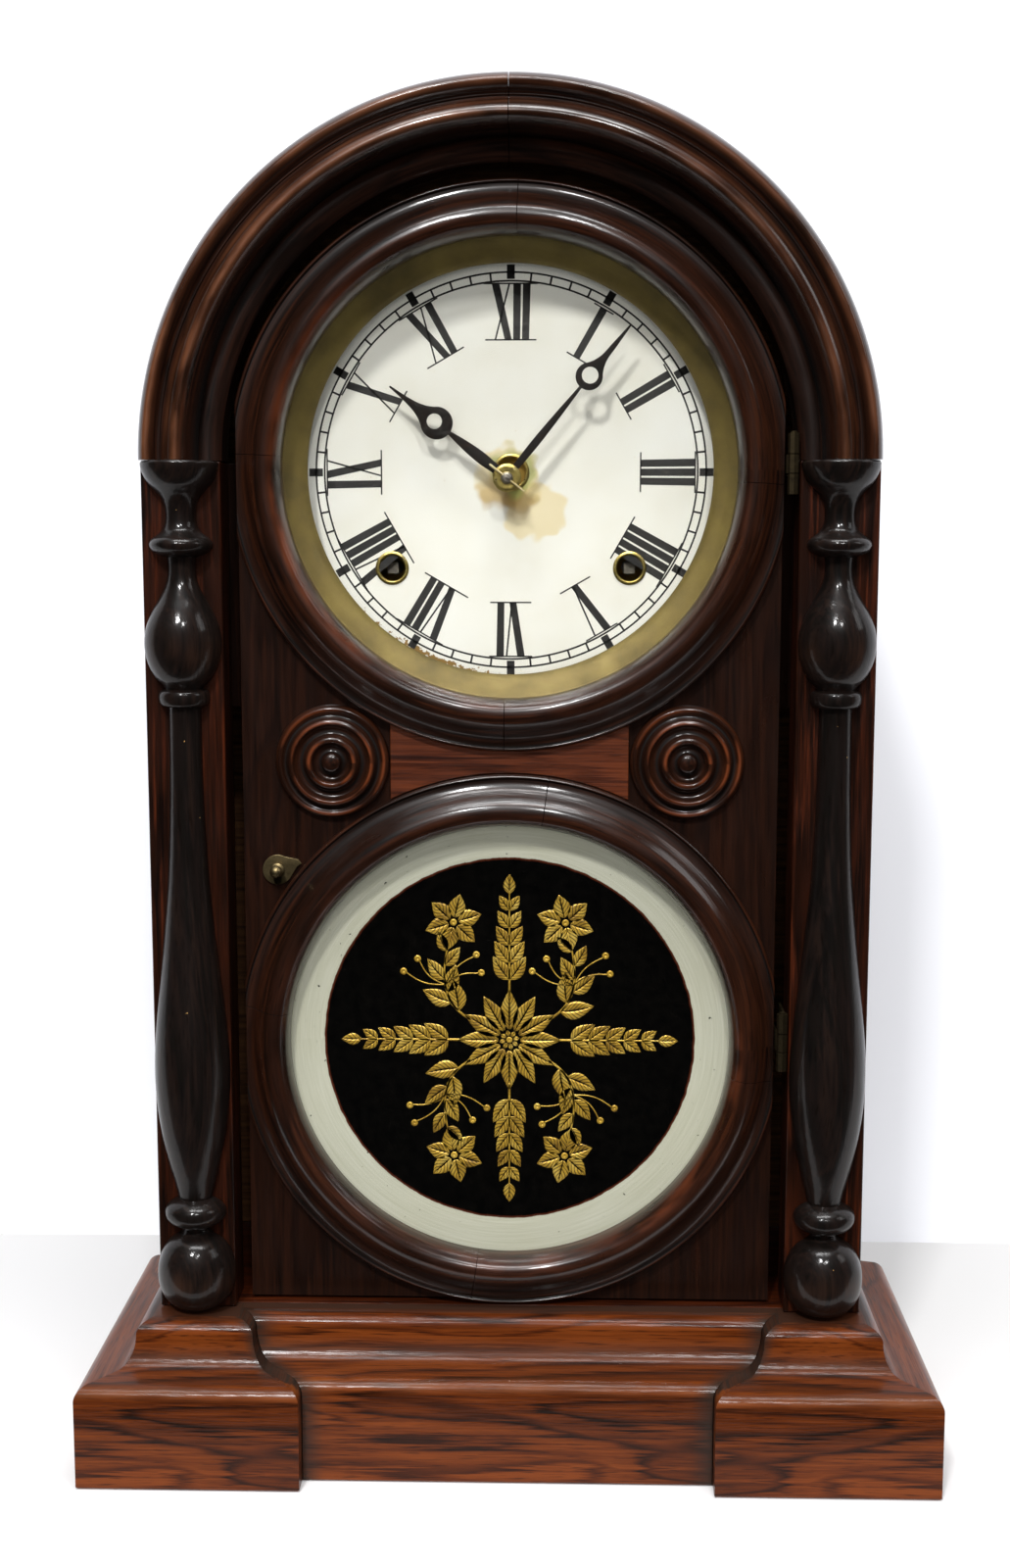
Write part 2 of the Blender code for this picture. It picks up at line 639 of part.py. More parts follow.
def build_door():
    axis = pivot("door_axis", (hinge_x(), hinge_y(), DOOR_BOTTOM_Z))
    radius = RING_OUTER_RADIUS - DOOR_TOP_MARGIN
    lean = math.degrees(math.acos(DOOR_HALF / radius))
    edge = [(-DOOR_HALF, DOOR_BOTTOM_Z), (DOOR_HALF, DOOR_BOTTOM_Z)]
    edge += arc(radius, lean, 180 - lean, MEDIUM, z=DIAL_Z)
    hole = GLASS_RADIUS + GAP
    latch_x, latch_z = latch_place()
    loops = [edge, circle(hole, FINE, z=DIAL_Z), circle(hole, FINE, z=TABLET_Z),
             circle(LATCH_SPINDLE_RADIUS + RUNNING_GAP, COARSE, latch_x, latch_z)]
    pieces = [keep(outline("door_panel", loops, DOOR_FRONT, DOOR_BACK), DARK_WOOD)]
    for name, z, look in (("dial", DIAL_Z, GLASS), ("tablet", TABLET_Z, PAINTED_GLASS)):
        ring = turned(f"{name}_ring", ring_section(), (0, RING_BACK, z), FINE, closed=True)
        tall = 2 * RING_OUTER_RADIUS
        common(ring, box(f"{name}_ring_sides", (-RING_HALF, RING_BACK - tall, z - tall),
                         (RING_HALF, RING_BACK + tall, z + tall)))
        pieces.append(keep(ring, DARK_WOOD))
        pane = [(0, -RING_BACK - GAP), (GLASS_RADIUS, -RING_BACK - GAP),
                (GLASS_RADIUS, -RING_BACK - GAP - GLASS_THICKNESS), (0, -RING_BACK - GAP - GLASS_THICKNESS)]
        pieces.append(keep(turned(f"{name}_glass", pane, (0, 0, z), FINE), look))
    x, z = rosette_place()
    for side, sign in (("left", -1), ("right", 1)):
        rosette = turned(f"rosette_{side}", rosette_profile(), (sign * x, RING_BACK, z), MEDIUM)
        pieces.append(keep(rosette, DARK_WOOD))
    bridge = outline("bridge_panel", [bridge_outline()], RING_BACK - BRIDGE_THICKNESS, RING_BACK, z=z)
    pieces.append(keep(bridge, ROSEWOOD))
    pieces.append(build_sight_ring())
    pieces += build_latch(latch_x, latch_z)
    pieces += build_hinge_leaves("door")
    carry(axis, pieces)


def build_sight_ring():
    """Brass cone that holds the dial glass and frames the dial."""
    front = RING_BACK + GAP + GLASS_THICKNESS + GAP
    depth = DOOR_BACK + SIGHT_PROUD - front
    wide = GLASS_RADIUS
    section = [(SIGHT_RADIUS, -depth), (wide - 2 * SIGHT_WALL, -SIGHT_WALL), (wide - 2 * SIGHT_WALL, 0),
               (wide, 0), (wide, -SIGHT_WALL), (wide - SIGHT_WALL, -2 * SIGHT_WALL),
               (SIGHT_RADIUS + SIGHT_WALL, -depth)]
    return keep(turned("sight_ring", section, (0, front, DIAL_Z), FINE, closed=True), BRASS)


def build_latch(x, z):
    """Turn latch: plate and ear on the door front, knob on a spindle, and a tongue behind the door."""
    hole = circle(LATCH_SPINDLE_RADIUS + RUNNING_GAP, COARSE)
    rim = arc(LATCH_PLATE_RADIUS, 30, 345, 18) + turned_by([(0, LATCH_EAR)], 75)
    plate_front = RING_BACK - LATCH_PLATE_THICKNESS
    plate = keep(outline("latch_plate", [rim, hole], plate_front, RING_BACK, x, z), BRASS)
    knob, spindle = LATCH_KNOB_RADIUS, LATCH_SPINDLE_RADIUS
    seat = -plate_front + GAP
    tongue_front = DOOR_BACK + GAP
    end = -(tongue_front + TONGUE_THICKNESS)
    shape = ((0, 2.7), (0.7, 2.4), (1.0, 1.7), (0.7, 1.0), (0.6, 0.5), (1.1, 0.3), (1.1, 0))
    profile = [(knob * r, seat + knob * h) for r, h in shape]
    profile += [(spindle, seat), (spindle, end), (0, end)]
    turn = pivot("latch_axis", (x, DOOR_FRONT, z))
    stem = keep(turned("latch_knob", profile, (x, 0, z), COARSE), BRASS)
    half = TONGUE_WIDTH / 2
    blade = arc(half, 180, 360, 8) + arc(half * 0.7, 0, 180, 6, z=TONGUE_LENGTH - half)
    tongue = keep(outline("latch_tongue", [blade, circle(spindle + GAP / 2, COARSE)], tongue_front,
                          tongue_front + TONGUE_THICKNESS, x, z), STEEL)
    carry(turn, [stem, tongue])
    return [plate, turn]


# Hinges


def hinge_x():
    return DOOR_HALF + DOOR_SIDE_GAP - GAP - KNUCKLE_RADIUS


def hinge_y():
    return PILASTER_FRONT + HINGE_FORWARD


def arch_lean():
    """How far the arch's faceted inner edge leans in at the upper hinge's top."""
    above = DIAL_Z + UPPER_HINGE_RISE + HINGE_LENGTH / 2 + HINGE_PIN_RADIUS - SPRING_Z
    flat = OPENING_HALF * math.cos(math.pi / FINE)
    return OPENING_HALF - math.sqrt(flat ** 2 - max(above, 0) ** 2)


def knuckle(name, low, high):
    bore = HINGE_PIN_RADIUS + RUNNING_GAP
    section = [(KNUCKLE_RADIUS, high), (KNUCKLE_RADIUS, low), (bore, low), (bore, high)]
    return turned(name, section, (hinge_x(), hinge_y(), 0), COARSE, upright=True, closed=True)


def build_hinge_leaves(owner):
    """The case leaf has the outer knuckles and the pin, the door leaf the middle knuckle."""
    made = []
    for level, middle in (("upper", DIAL_Z + UPPER_HINGE_RISE), ("lower", TABLET_Z + LOWER_HINGE_RISE)):
        low, high = middle - HINGE_LENGTH / 2, middle + HINGE_LENGTH / 2
        third = HINGE_LENGTH / 3
        start = hinge_y()
        name = f"hinge_{level}_{owner}_leaf"
        if owner == "door":
            near = DOOR_HALF + GAP
            foot, head = low + third + GAP, high - third - GAP
            leaf = box(name, (near, start, foot), (near + LEAF_THICKNESS, DOOR_BACK, head))
            unite(leaf, knuckle(f"{name}_knuckle", foot, head))
        else:
            far = OPENING_HALF - GAP - arch_lean()
            leaf = box(name, (far - LEAF_THICKNESS, start, low), (far, PILASTER_BACK, high))
            slot = box(f"{name}_slot", (DOOR_HALF, start - GAP, low + third),
                       (hinge_x() + KNUCKLE_RADIUS + RUNNING_GAP, hinge_y() + KNUCKLE_RADIUS + RUNNING_GAP,
                        high - third))
            cut(leaf, slot)
            place = (hinge_x(), hinge_y(), 0)
            unite(leaf, turned(f"{name}_pin", pin_profile(low, high), place, COARSE, upright=True))
        made.append(keep(leaf, BRASS))
    return made


def pin_profile(low, high):
    """The pin with the case leaf's two knuckles, which are fast on it."""
    r, pin, third = KNUCKLE_RADIUS, HINGE_PIN_RADIUS, HINGE_LENGTH / 3
    return [(0, high + pin), (0.6 * r, high + 0.7 * pin), (0.6 * r, high), (r, high), (r, high - third),
            (pin, high - third), (pin, low + third), (r, low + third), (r, low), (0, low)]


# Dial and hands


def grommet(name, hole, x, z):
    """Flanged brass eyelet through the dial."""
    wall, flange, thick = hole + GROMMET_WALL, hole + GROMMET_FLANGE, GROMMET_THICKNESS
    section = [(flange, thick), (flange, GAP), (wall, GAP), (wall, -DIAL_THICKNESS), (hole, -DIAL_THICKNESS),
               (hole, thick)]
    return keep(turned(name, section, (x, DIAL_FRONT, z), MEDIUM, closed=True), BRASS)


def build_dial():
    face = [(-DIAL_RADIUS, -DIAL_DROP), (DIAL_RADIUS, -DIAL_DROP)] + arc(DIAL_RADIUS, 0, 180, MEDIUM)
    centre = CENTRE_HOLE_RADIUS + GROMMET_WALL + GAP
    winding = WINDING_HOLE_RADIUS + GROMMET_WALL + GAP
    loops = [face, circle(centre, MEDIUM), circle(winding, MEDIUM, -WINDING_X, -WINDING_DROP),
             circle(winding, MEDIUM, WINDING_X, -WINDING_DROP)]
    keep(outline("dial_plate", loops, DIAL_FRONT, DIAL_BACK, z=DIAL_Z), PAINTED_ZINC)
    grommet("centre_grommet", CENTRE_HOLE_RADIUS, 0, DIAL_Z)
    grommet("winding_grommet_left", WINDING_HOLE_RADIUS, -WINDING_X, WINDING_Z)
    grommet("winding_grommet_right", WINDING_HOLE_RADIUS, WINDING_X, WINDING_Z)


def hand_outline(length, moon, place, shoulder):
    """Moon hand pointing to twelve: hub, tapering stem, round moon and a leaf-shaped tip."""
    waist = 0.3 * moon
    hub = arc(shoulder, 125, 415, 16)
    right = [(0.5 * shoulder, 0.3 * place), (0.7 * waist, place - 1.5 * moon)]
    ball = arc(moon, -75, 62, 9, z=place)
    tip = [(0.36 * moon, place + 1.25 * moon), (0.2 * moon, place + 0.55 * (length - place))]
    half = right + ball + tip
    return hub + half + [(0, length)] + [(-x, z) for x, z in reversed(half)]


def build_hands():
    """Returns the minute hand's fittings, which turn with the centre arbor, and the hour hand."""
    hole = circle(HOUR_PIPE_RADIUS + GAP / 2, COARSE)
    moon = circle(MOON_HOLE_RADIUS, COARSE, z=HOUR_MOON_PLACE)
    edge = hand_outline(HOUR_HAND_LENGTH, HOUR_MOON_RADIUS, HOUR_MOON_PLACE, HOUR_SHOULDER)
    loops = [turned_by(points, HOUR_ANGLE) for points in (edge, hole, moon)]
    hour = outline("hour_hand", loops, HOUR_HAND_FRONT,
                   HOUR_HAND_FRONT + HAND_THICKNESS, HUB_X, HUB_Z)
    hole = circle(ARBOR_RADIUS + GAP / 2, COARSE)
    moon = circle(MOON_HOLE_RADIUS, COARSE, z=MINUTE_MOON_PLACE)
    edge = hand_outline(MINUTE_HAND_LENGTH, MINUTE_MOON_RADIUS, MINUTE_MOON_PLACE, MINUTE_SHOULDER)
    loops = [turned_by(points, MINUTE_ANGLE) for points in (edge, hole, moon)]
    minute = outline("minute_hand", loops, MINUTE_HAND_FRONT,
                     MINUTE_HAND_FRONT + HAND_THICKNESS, HUB_X, HUB_Z)
    bore, washer_back = ARBOR_RADIUS + GAP / 2, -WASHER_FRONT - HAND_THICKNESS
    section = [(WASHER_RADIUS, -WASHER_FRONT), (WASHER_RADIUS, washer_back), (bore, washer_back),
               (bore, -WASHER_FRONT)]
    washer = turned("hand_washer", section, (HUB_X, 0, HUB_Z), MEDIUM, closed=True)
    half = TAPER_PIN_LENGTH / 2
    taper = [(0, half), (TAPER_PIN_RADIUS, half), (0.6 * TAPER_PIN_RADIUS, -half), (0, -half)]
    pin = turned("hand_pin", taper, (HUB_X, TAPER_PIN_Y, HUB_Z), COARSE, upright=True)
    pin.rotation_euler = (0, math.radians(HOUR_ANGLE), 0)
    for piece, look in ((minute, BLUED_STEEL), (washer, BRASS), (pin, BRASS), (hour, BLUED_STEEL)):
        keep(piece, look)
    return [minute, washer, pin], hour


# Movement


def gear(teeth, module, phase, bore):
    """Wheel outline with thin, short teeth that leave working play, and its bore."""
    pitch = teeth * module / 2
    root, tip = pitch - 0.95 * module, pitch + 0.65 * module
    step = 2 * math.pi / teeth
    points = []
    for i in range(teeth):
        for radius, share in ((root, -0.24), (tip, -0.12), (tip, 0.12), (root, 0.24)):
            a = phase + step * (i + share)
            points.append((radius * math.cos(a), radius * math.sin(a)))
    return [points, circle(bore, COARSE)] if bore else [points]


def mesh_phase(driver_phase, driver_teeth, teeth, line):
    """Turns a follower so that its gap meets the driver's tooth on the line of centres."""
    driver_step = 2 * math.pi / driver_teeth
    step = 2 * math.pi / teeth
    share = ((line - driver_phase) % driver_step) / driver_step
    return line + math.pi + (share - 0.5) * step


def meeting_point(a, b, from_a, from_b):
    """The lower of the two points at the given distances from two centres."""
    dx, dz = b[0] - a[0], b[1] - a[1]
    span = math.hypot(dx, dz)
    along = (span ** 2 + from_a ** 2 - from_b ** 2) / (2 * span)
    off = math.sqrt(from_a ** 2 - along ** 2)
    ux, uz = dx / span, dz / span
    return a[0] + along * ux + off * uz, a[1] + along * uz - off * ux


def plate(name, front, holes):
    loops = [[(-PLATE_HALF_WIDTH, -PLATE_BELOW_HUB), (PLATE_HALF_WIDTH, -PLATE_BELOW_HUB),
              (PLATE_HALF_WIDTH, PLATE_ABOVE_HUB), (-PLATE_HALF_WIDTH, PLATE_ABOVE_HUB)]]
    for radius, x, z in holes:
        loops.append(circle(radius + RUNNING_GAP, COARSE, x - HUB_X, z - HUB_Z))
    return outline(name, loops, front, front + PLATE_THICKNESS, HUB_X, HUB_Z)


def build_plates(second, escape, verge):
    """Two plates on four pillars, whose feet stand on the back board, and the front plate's studs."""
    holes = [(ARBOR_RADIUS, HUB_X, HUB_Z), (ARBOR_RADIUS, *second), (ARBOR_RADIUS, *escape)]
    holes += [(WINDING_JOURNAL_RADIUS, sign * WINDING_X, WINDING_Z) for sign in (-1, 1)]
    front = plate("front_plate", PLATE_FRONT, holes)
    root = PLATE_FRONT + PLATE_THICKNESS / 2
    minute_place = (HUB_X, HUB_Z + MOTION_CENTRES)
    unite(front, rod("minute_stud", ARBOR_RADIUS, DIAL_BACK + ARBOR_END, root, *minute_place))
    unite(front, rod("verge_stud", ARBOR_RADIUS, PENDULUM_Y - VERGE_STUD_REACH, root, *verge))
    keep(front, BRASS)
    back = plate("back_plate", TRAIN_BACK, holes)
    corners = [(HUB_X + sign * x, HUB_Z + z) for sign in (-1, 1)
               for x, z in ((PLATE_HALF_WIDTH - 4 * PILLAR_RADIUS, PLATE_ABOVE_HUB - 2 * PILLAR_RADIUS),
                            (3 * PILLAR_RADIUS, 2 * PILLAR_RADIUS - PLATE_BELOW_HUB))]
    for number, (x, z) in enumerate(corners):
        unite(back, rod(f"pillar_{number}", PILLAR_RADIUS, TRAIN_FRONT + GAP, CASE_BACK - GAP, x, z))
    unite(back, rod("hammer_stud", ARBOR_RADIUS, TRAIN_BACK + PLATE_THICKNESS / 2,
                    HAMMER_FRONT + HAMMER_THICKNESS + GAP, *hammer_pivot()))
    keep(back, BRASS)


def build_motion_work(minute_pieces, hour_hand):
    """Centre arbor, minute wheel and hour wheel between the dial and the front plate."""
    axis = pivot("minute_axis", (HUB_X, PLATE_FRONT, HUB_Z))
    cannon_module = 2 * MOTION_CENTRES / (CANNON_TEETH + MINUTE_WHEEL_TEETH)
    hour_module = 2 * MOTION_CENTRES / (MINUTE_PINION_TEETH + HOUR_WHEEL_TEETH)
    up = math.pi / 2
    hour_front = DIAL_BACK + HOUR_WHEEL_SETBACK
    wheel_front = hour_front + WHEEL_THICKNESS + MOTION_WHEEL_SPACING
    end = TAPER_PIN_Y - 2 * TAPER_PIN_RADIUS
    arbor = rod("centre_arbor", ARBOR_RADIUS, end, PLATE_BACK + PLATE_THICKNESS, HUB_X, HUB_Z)
    half = ARBOR_RADIUS * 2
    slot = box("pin_slot", (-half, -half, -half), (half, half, half))
    slot.location = (HUB_X, TAPER_PIN_Y + TAPER_PIN_RADIUS + GAP / 2 - half, HUB_Z)
    width = (TAPER_PIN_RADIUS + GAP / 2) / half
    slot.scale = (width, 1.0, 1.0)
    slot.rotation_euler = (0, math.radians(HOUR_ANGLE), 0)
    unite(arbor, outline("cannon_pinion", gear(CANNON_TEETH, cannon_module, up, 0),
                         wheel_front - PINION_MARGIN, wheel_front + WHEEL_THICKNESS + PINION_MARGIN,
                         HUB_X, HUB_Z))
    second_front = TRAIN_FRONT + SECOND_WHEEL_SETBACK
    unite(arbor, outline("centre_pinion", gear(CENTRE_PINION_TEETH, SECOND_MODULE, up, 0),
                         second_front - PINION_MARGIN, second_front + WHEEL_THICKNESS + PINION_MARGIN,
                         HUB_X, HUB_Z))
    cut(arbor, slot)
    keep(arbor, STEEL)
    carry(axis, minute_pieces + [arbor])

    phase = mesh_phase(up, CANNON_TEETH, MINUTE_WHEEL_TEETH, up)
    bore = ARBOR_RADIUS + RUNNING_GAP
    minute_wheel = outline("minute_wheel", gear(MINUTE_WHEEL_TEETH, cannon_module, phase, bore),
                           wheel_front, wheel_front + WHEEL_THICKNESS, HUB_X, HUB_Z + MOTION_CENTRES)
    unite(minute_wheel, outline("minute_pinion", gear(MINUTE_PINION_TEETH, hour_module, -up, bore),
                                hour_front - PINION_MARGIN, wheel_front + WHEEL_THICKNESS / 2,
                                HUB_X, HUB_Z + MOTION_CENTRES))
    keep(minute_wheel, BRASS)

    phase = mesh_phase(-up, MINUTE_PINION_TEETH, HOUR_WHEEL_TEETH, -up)
    hour_wheel = outline("hour_wheel", gear(HOUR_WHEEL_TEETH, hour_module, phase, bore),
                         hour_front, hour_front + WHEEL_THICKNESS, HUB_X, HUB_Z)
    pipe_front = HOUR_HAND_FRONT - PIPE_PROUD
    pipe = [(HOUR_PIPE_RADIUS, -pipe_front), (HOUR_PIPE_RADIUS, -hour_front - WHEEL_THICKNESS / 2),
            (bore, -hour_front - WHEEL_THICKNESS / 2), (bore, -pipe_front)]
    unite(hour_wheel, turned("hour_pipe", pipe, (HUB_X, 0, HUB_Z), COARSE, closed=True))
    keep(hour_wheel, BRASS)
    carry(pivot("hour_axis", (HUB_X, PLATE_FRONT, HUB_Z)), [hour_hand, hour_wheel])


def spring_outline():
    """Flat spiral strip from the arbor's hub to the outer turn."""
    inner = WINDING_HUB_RADIUS + GAP
    steps = SPRING_TURNS * 12
    path = []
    for i in range(steps + 1):
        t = i / steps
        path.append((inner + (SPRING_RADIUS - SPRING_STRIP - inner) * t, 2 * math.pi * SPRING_TURNS * t))
    near = [(r * math.cos(a), r * math.sin(a)) for r, a in path]
    far = [((r + SPRING_STRIP) * math.cos(a), (r + SPRING_STRIP) * math.sin(a)) for r, a in path]
    return far + list(reversed(near))


def second_place():
    """Second wheel's arbor, in mesh with the centre pinion and with the time great wheel."""
    from_hub = SECOND_MODULE * (CENTRE_PINION_TEETH + SECOND_WHEEL_TEETH) / 2
    from_great = GREAT_MODULE * (SECOND_PINION_TEETH + GREAT_WHEEL_TEETH) / 2
    return meeting_point((HUB_X, HUB_Z), (WINDING_X, WINDING_Z), from_hub, from_great)


def build_train(second):
    """Second wheel, great wheels, winding arbors and mainsprings between the plates."""
    second_front = TRAIN_FRONT + SECOND_WHEEL_SETBACK
    great_front = second_front + WHEEL_THICKNESS + GREAT_WHEEL_SPACING
    line = math.atan2(second[1] - HUB_Z, second[0] - HUB_X)
    phase = mesh_phase(math.pi / 2, CENTRE_PINION_TEETH, SECOND_WHEEL_TEETH, line)
    wheel = outline("second_wheel", gear(SECOND_WHEEL_TEETH, SECOND_MODULE, phase, 0), second_front,
                    second_front + WHEEL_THICKNESS, *second)
    unite(wheel, rod("second_arbor", ARBOR_RADIUS, PLATE_FRONT - ARBOR_END, PLATE_BACK + ARBOR_END, *second))
    unite(wheel, outline("second_pinion", gear(SECOND_PINION_TEETH, GREAT_MODULE, phase, 0),
                         second_front + WHEEL_THICKNESS / 2,
                         great_front + GREAT_WHEEL_THICKNESS + PINION_MARGIN, *second))
    keep(wheel, BRASS)
    line = math.atan2(WINDING_Z - second[1], WINDING_X - second[0])
    great_phase = mesh_phase(phase, SECOND_PINION_TEETH, GREAT_WHEEL_TEETH, line)
    spring_front = great_front + GREAT_WHEEL_THICKNESS + SPRING_SPACING
    for name, sign in (("strike", -1), ("time", 1)):
        x, z = sign * WINDING_X, WINDING_Z
        bore = WINDING_ARBOR_RADIUS + RUNNING_GAP
        teeth = gear(GREAT_WHEEL_TEETH, GREAT_MODULE, great_phase, bore)
        great_back = great_front + GREAT_WHEEL_THICKNESS
        keep(outline(f"{name}_great_wheel", teeth, great_front, great_back, x, z), BRASS)
        r, hub, journal = WINDING_ARBOR_RADIUS, WINDING_HUB_RADIUS, WINDING_JOURNAL_RADIUS
        nose, tail = ARBOR_END - PLATE_FRONT, -PLATE_BACK - ARBOR_END
        end = spring_front + SPRING_WIDTH
        profile = [(0, nose), (journal, nose), (journal, -TRAIN_FRONT - GAP), (r, -TRAIN_FRONT - GAP),
                   (r, -spring_front), (hub, -spring_front), (hub, -end), (r, -end), (r, -TRAIN_BACK + GAP),
                   (journal, -TRAIN_BACK + GAP), (journal, tail), (0, tail)]
        arbor = turned(f"{name}_winding_arbor", profile, (x, 0, z), COARSE)
        half = WINDING_SQUARE / 2
        unite(arbor, box(f"{name}_square", (x - half, DIAL_BACK + SQUARE_SETBACK, z - half),
                         (x + half, PLATE_FRONT - ARBOR_END / 2, z + half)))
        keep(arbor, STEEL)
        keep(outline(f"{name}_mainspring", [spring_outline()], spring_front, end, x, z), STEEL)


# Escapement and pendulum


def verge_outline():
    """Bent strip verge: a hub with two arms that end in pallets over the escape wheel."""
    reach, drop = VERGE_REACH, 0.9 * VERGE_REACH
    thick = VERGE_STRIP
    left = [(-thick * 1.4, 0.6 * thick), (-0.7 * reach, -0.25 * drop), (-reach, -drop),
            (-reach - thick, -drop), (-0.7 * reach - thick, 0.1 * drop), (-thick, 1.7 * thick)]
    return left + [(-x, z) for x, z in reversed(left)]


def build_escapement(escape, verge):
    plane = PLATE_FRONT - ESCAPE_FORWARD
    step = 2 * math.pi / ESCAPE_TEETH
    teeth = []
    for i in range(ESCAPE_TEETH):
        for radius, share in ((0.8, 0.0), (1.0, 0.1), (1.0, 0.18), (0.8, 0.55)):
            a = step * (i + share)
            teeth.append((ESCAPE_RADIUS * radius * math.cos(a), ESCAPE_RADIUS * radius * math.sin(a)))
    wheel = outline("escape_wheel", [teeth], plane, plane + WHEEL_THICKNESS, *escape)
    nose, tail = plane - ESCAPE_ARBOR_NOSE, PLATE_BACK + ARBOR_END
    unite(wheel, rod("escape_arbor", ARBOR_RADIUS, nose, tail, *escape))
    keep(wheel, BRASS)

    swing = pivot("pendulum_axis", (verge[0], PENDULUM_Y, verge[1]))
    carry(swing, [build_verge(verge, plane)] + build_pendulum(verge))


def verge_bore():
    return ARBOR_RADIUS + RUNNING_GAP


def build_verge(verge, plane):
    """Verge strip on its sleeve, with the crutch wire whose fork holds the pendulum rod."""
    x, top = verge
    bore, wire = verge_bore(), CRUTCH_HALF
    collar = bore + COLLAR_WALL
    front, back = PENDULUM_Y + CRUTCH_SETBACK, plane + WHEEL_THICKNESS
    strip = outline("verge", [verge_outline()], plane, back, x, top)
    unite(strip, rod("verge_sleeve", collar, front, back, x, top))
    foot = top - CRUTCH_LENGTH
    unite(strip, box("crutch_wire", (x - wire, front, foot), (x + wire, front + 2 * wire, top)))
    fork = PENDULUM_ROD_RADIUS + RUNNING_GAP
    side, far = fork + 2 * wire, 2 * CRUTCH_LENGTH
    prongs = box("crutch_fork", (x - side, PENDULUM_Y - fork - wire, foot),
                 (x + side, front + 2 * wire, foot + FORK_HEIGHT))
    cut(prongs, box("fork_slot", (x - fork, PENDULUM_Y - far, foot - far),
                    (x + fork, front - GAP, foot + far)))
    unite(strip, prongs)
    cut(strip, rod("verge_bore", bore, front - far, PLATE_FRONT, x, top))
    return keep(strip, STEEL)


def build_pendulum(verge):
    """Wire rod with a loop on the verge stud, a lens-shaped bob and its rating nut."""
    x, top = verge
    bore, r, thick = verge_bore(), PENDULUM_ROD_RADIUS, PENDULUM_LOOP_HALF
    collar = bore + COLLAR_WALL
    bob_z = top - PENDULUM_LENGTH
    ring = [(collar, thick), (collar, -thick), (bore, -thick), (bore, thick)]
    loop = turned("pendulum_rod", ring, (x, PENDULUM_Y, top), COARSE, closed=True)
    end = bob_z - BOB_RADIUS - 2 * NUT_HEIGHT
    wire_top = top - bore - COLLAR_WALL / 3
    unite(loop, turned("rod_wire", [(0, wire_top), (r, wire_top), (r, end), (0, end)],
                       (x, PENDULUM_Y, 0), COARSE, upright=True))
    h = BOB_THICKNESS / 2
    half = [(0, h), (0.45 * BOB_RADIUS, 0.9 * h), (0.8 * BOB_RADIUS, 0.55 * h), (BOB_RADIUS, 0.15 * h)]
    lens = half + [(px, -pz) for px, pz in reversed(half)]
    bob = turned("pendulum_bob", lens, (x, PENDULUM_Y, bob_z), MEDIUM)
    hole, far = r + GAP, 2 * BOB_RADIUS
    cut(bob, turned("bob_hole", [(0, far), (hole, far), (hole, -far), (0, -far)],
                    (x, PENDULUM_Y, bob_z), COARSE, upright=True))
    nut_top = bob_z - BOB_RADIUS - GAP
    nut_foot = nut_top - NUT_HEIGHT
    section = [(NUT_RADIUS, nut_top), (NUT_RADIUS, nut_foot), (hole, nut_foot), (hole, nut_top)]
    nut = turned("rating_nut", section, (x, PENDULUM_Y, 0), COARSE, upright=True, closed=True)
    return [keep(loop, STEEL), keep(bob, BRASS), keep(nut, BRASS)]


# Bell and hammer


def hammer_pivot():
    return HUB_X - HAMMER_PIVOT_SIDE, HUB_Z - HAMMER_PIVOT_DROP


def build_strike():
    x, z = HUB_X - BELL_SIDE, HUB_Z - BELL_DROP
    rim = CASE_BACK - BELL_BACK_SPACE
    crown = rim - BELL_DEPTH
    hole = BELL_POST_RADIUS + GAP
    shape = ((0.0, 0.0), (0.45, 0.06), (0.78, 0.3), (0.94, 0.7), (1.0, 1.0))
    outside = [(hole + (BELL_RADIUS - hole) * t, -crown - BELL_DEPTH * k) for t, k in shape]
    width, depth = BELL_RADIUS - BELL_WALL - hole, BELL_DEPTH - BELL_WALL
    inside = [(hole + width * t, -crown - BELL_WALL - depth * k) for t, k in shape]
    keep(turned("bell", outside + list(reversed(inside)), (x, 0, z), MEDIUM, closed=True), BRASS)
    r = BELL_POST_RADIUS
    nut = 2 * r
    seat = crown + BELL_WALL + GAP
    top, under, end = nut - crown, GAP - crown, GAP - CASE_BACK
    post = [(0, top), (nut, top), (nut, under), (r, under), (r, -seat), (nut, -seat), (nut, -seat - r),
            (r, -seat - r), (r, end), (0, end)]
    keep(turned("bell_post", post, (x, 0, z), COARSE), STEEL)
    px, pz = hammer_pivot()
    head_x = x + BELL_RADIUS + HAMMER_STRIKE_GAP + HAMMER_HEAD_RADIUS - px
    head_z = z - pz
    bore = ARBOR_RADIUS + RUNNING_GAP
    hub = HAMMER_HUB_RADIUS
    lean = math.degrees(math.atan2(head_x, head_z))
    length = math.hypot(head_x, head_z)
    arm, head = HAMMER_ARM_HALF, HAMMER_HEAD_RADIUS
    side = math.degrees(math.asin(arm / head))
    tilt = math.degrees(math.asin(arm / hub))
    shape = arc(hub, 90 + tilt, 450 - tilt, 14) + arc(head, -90 + side, 270 - side, 14, z=length)
    loops = [turned_by(points, lean) for points in (shape, circle(bore, COARSE))]
    hammer = keep(outline("hammer", loops, HAMMER_FRONT, HAMMER_FRONT + HAMMER_THICKNESS, px, pz), STEEL)
    carry(pivot("hammer_axis", (px, HAMMER_FRONT, pz)), [hammer])


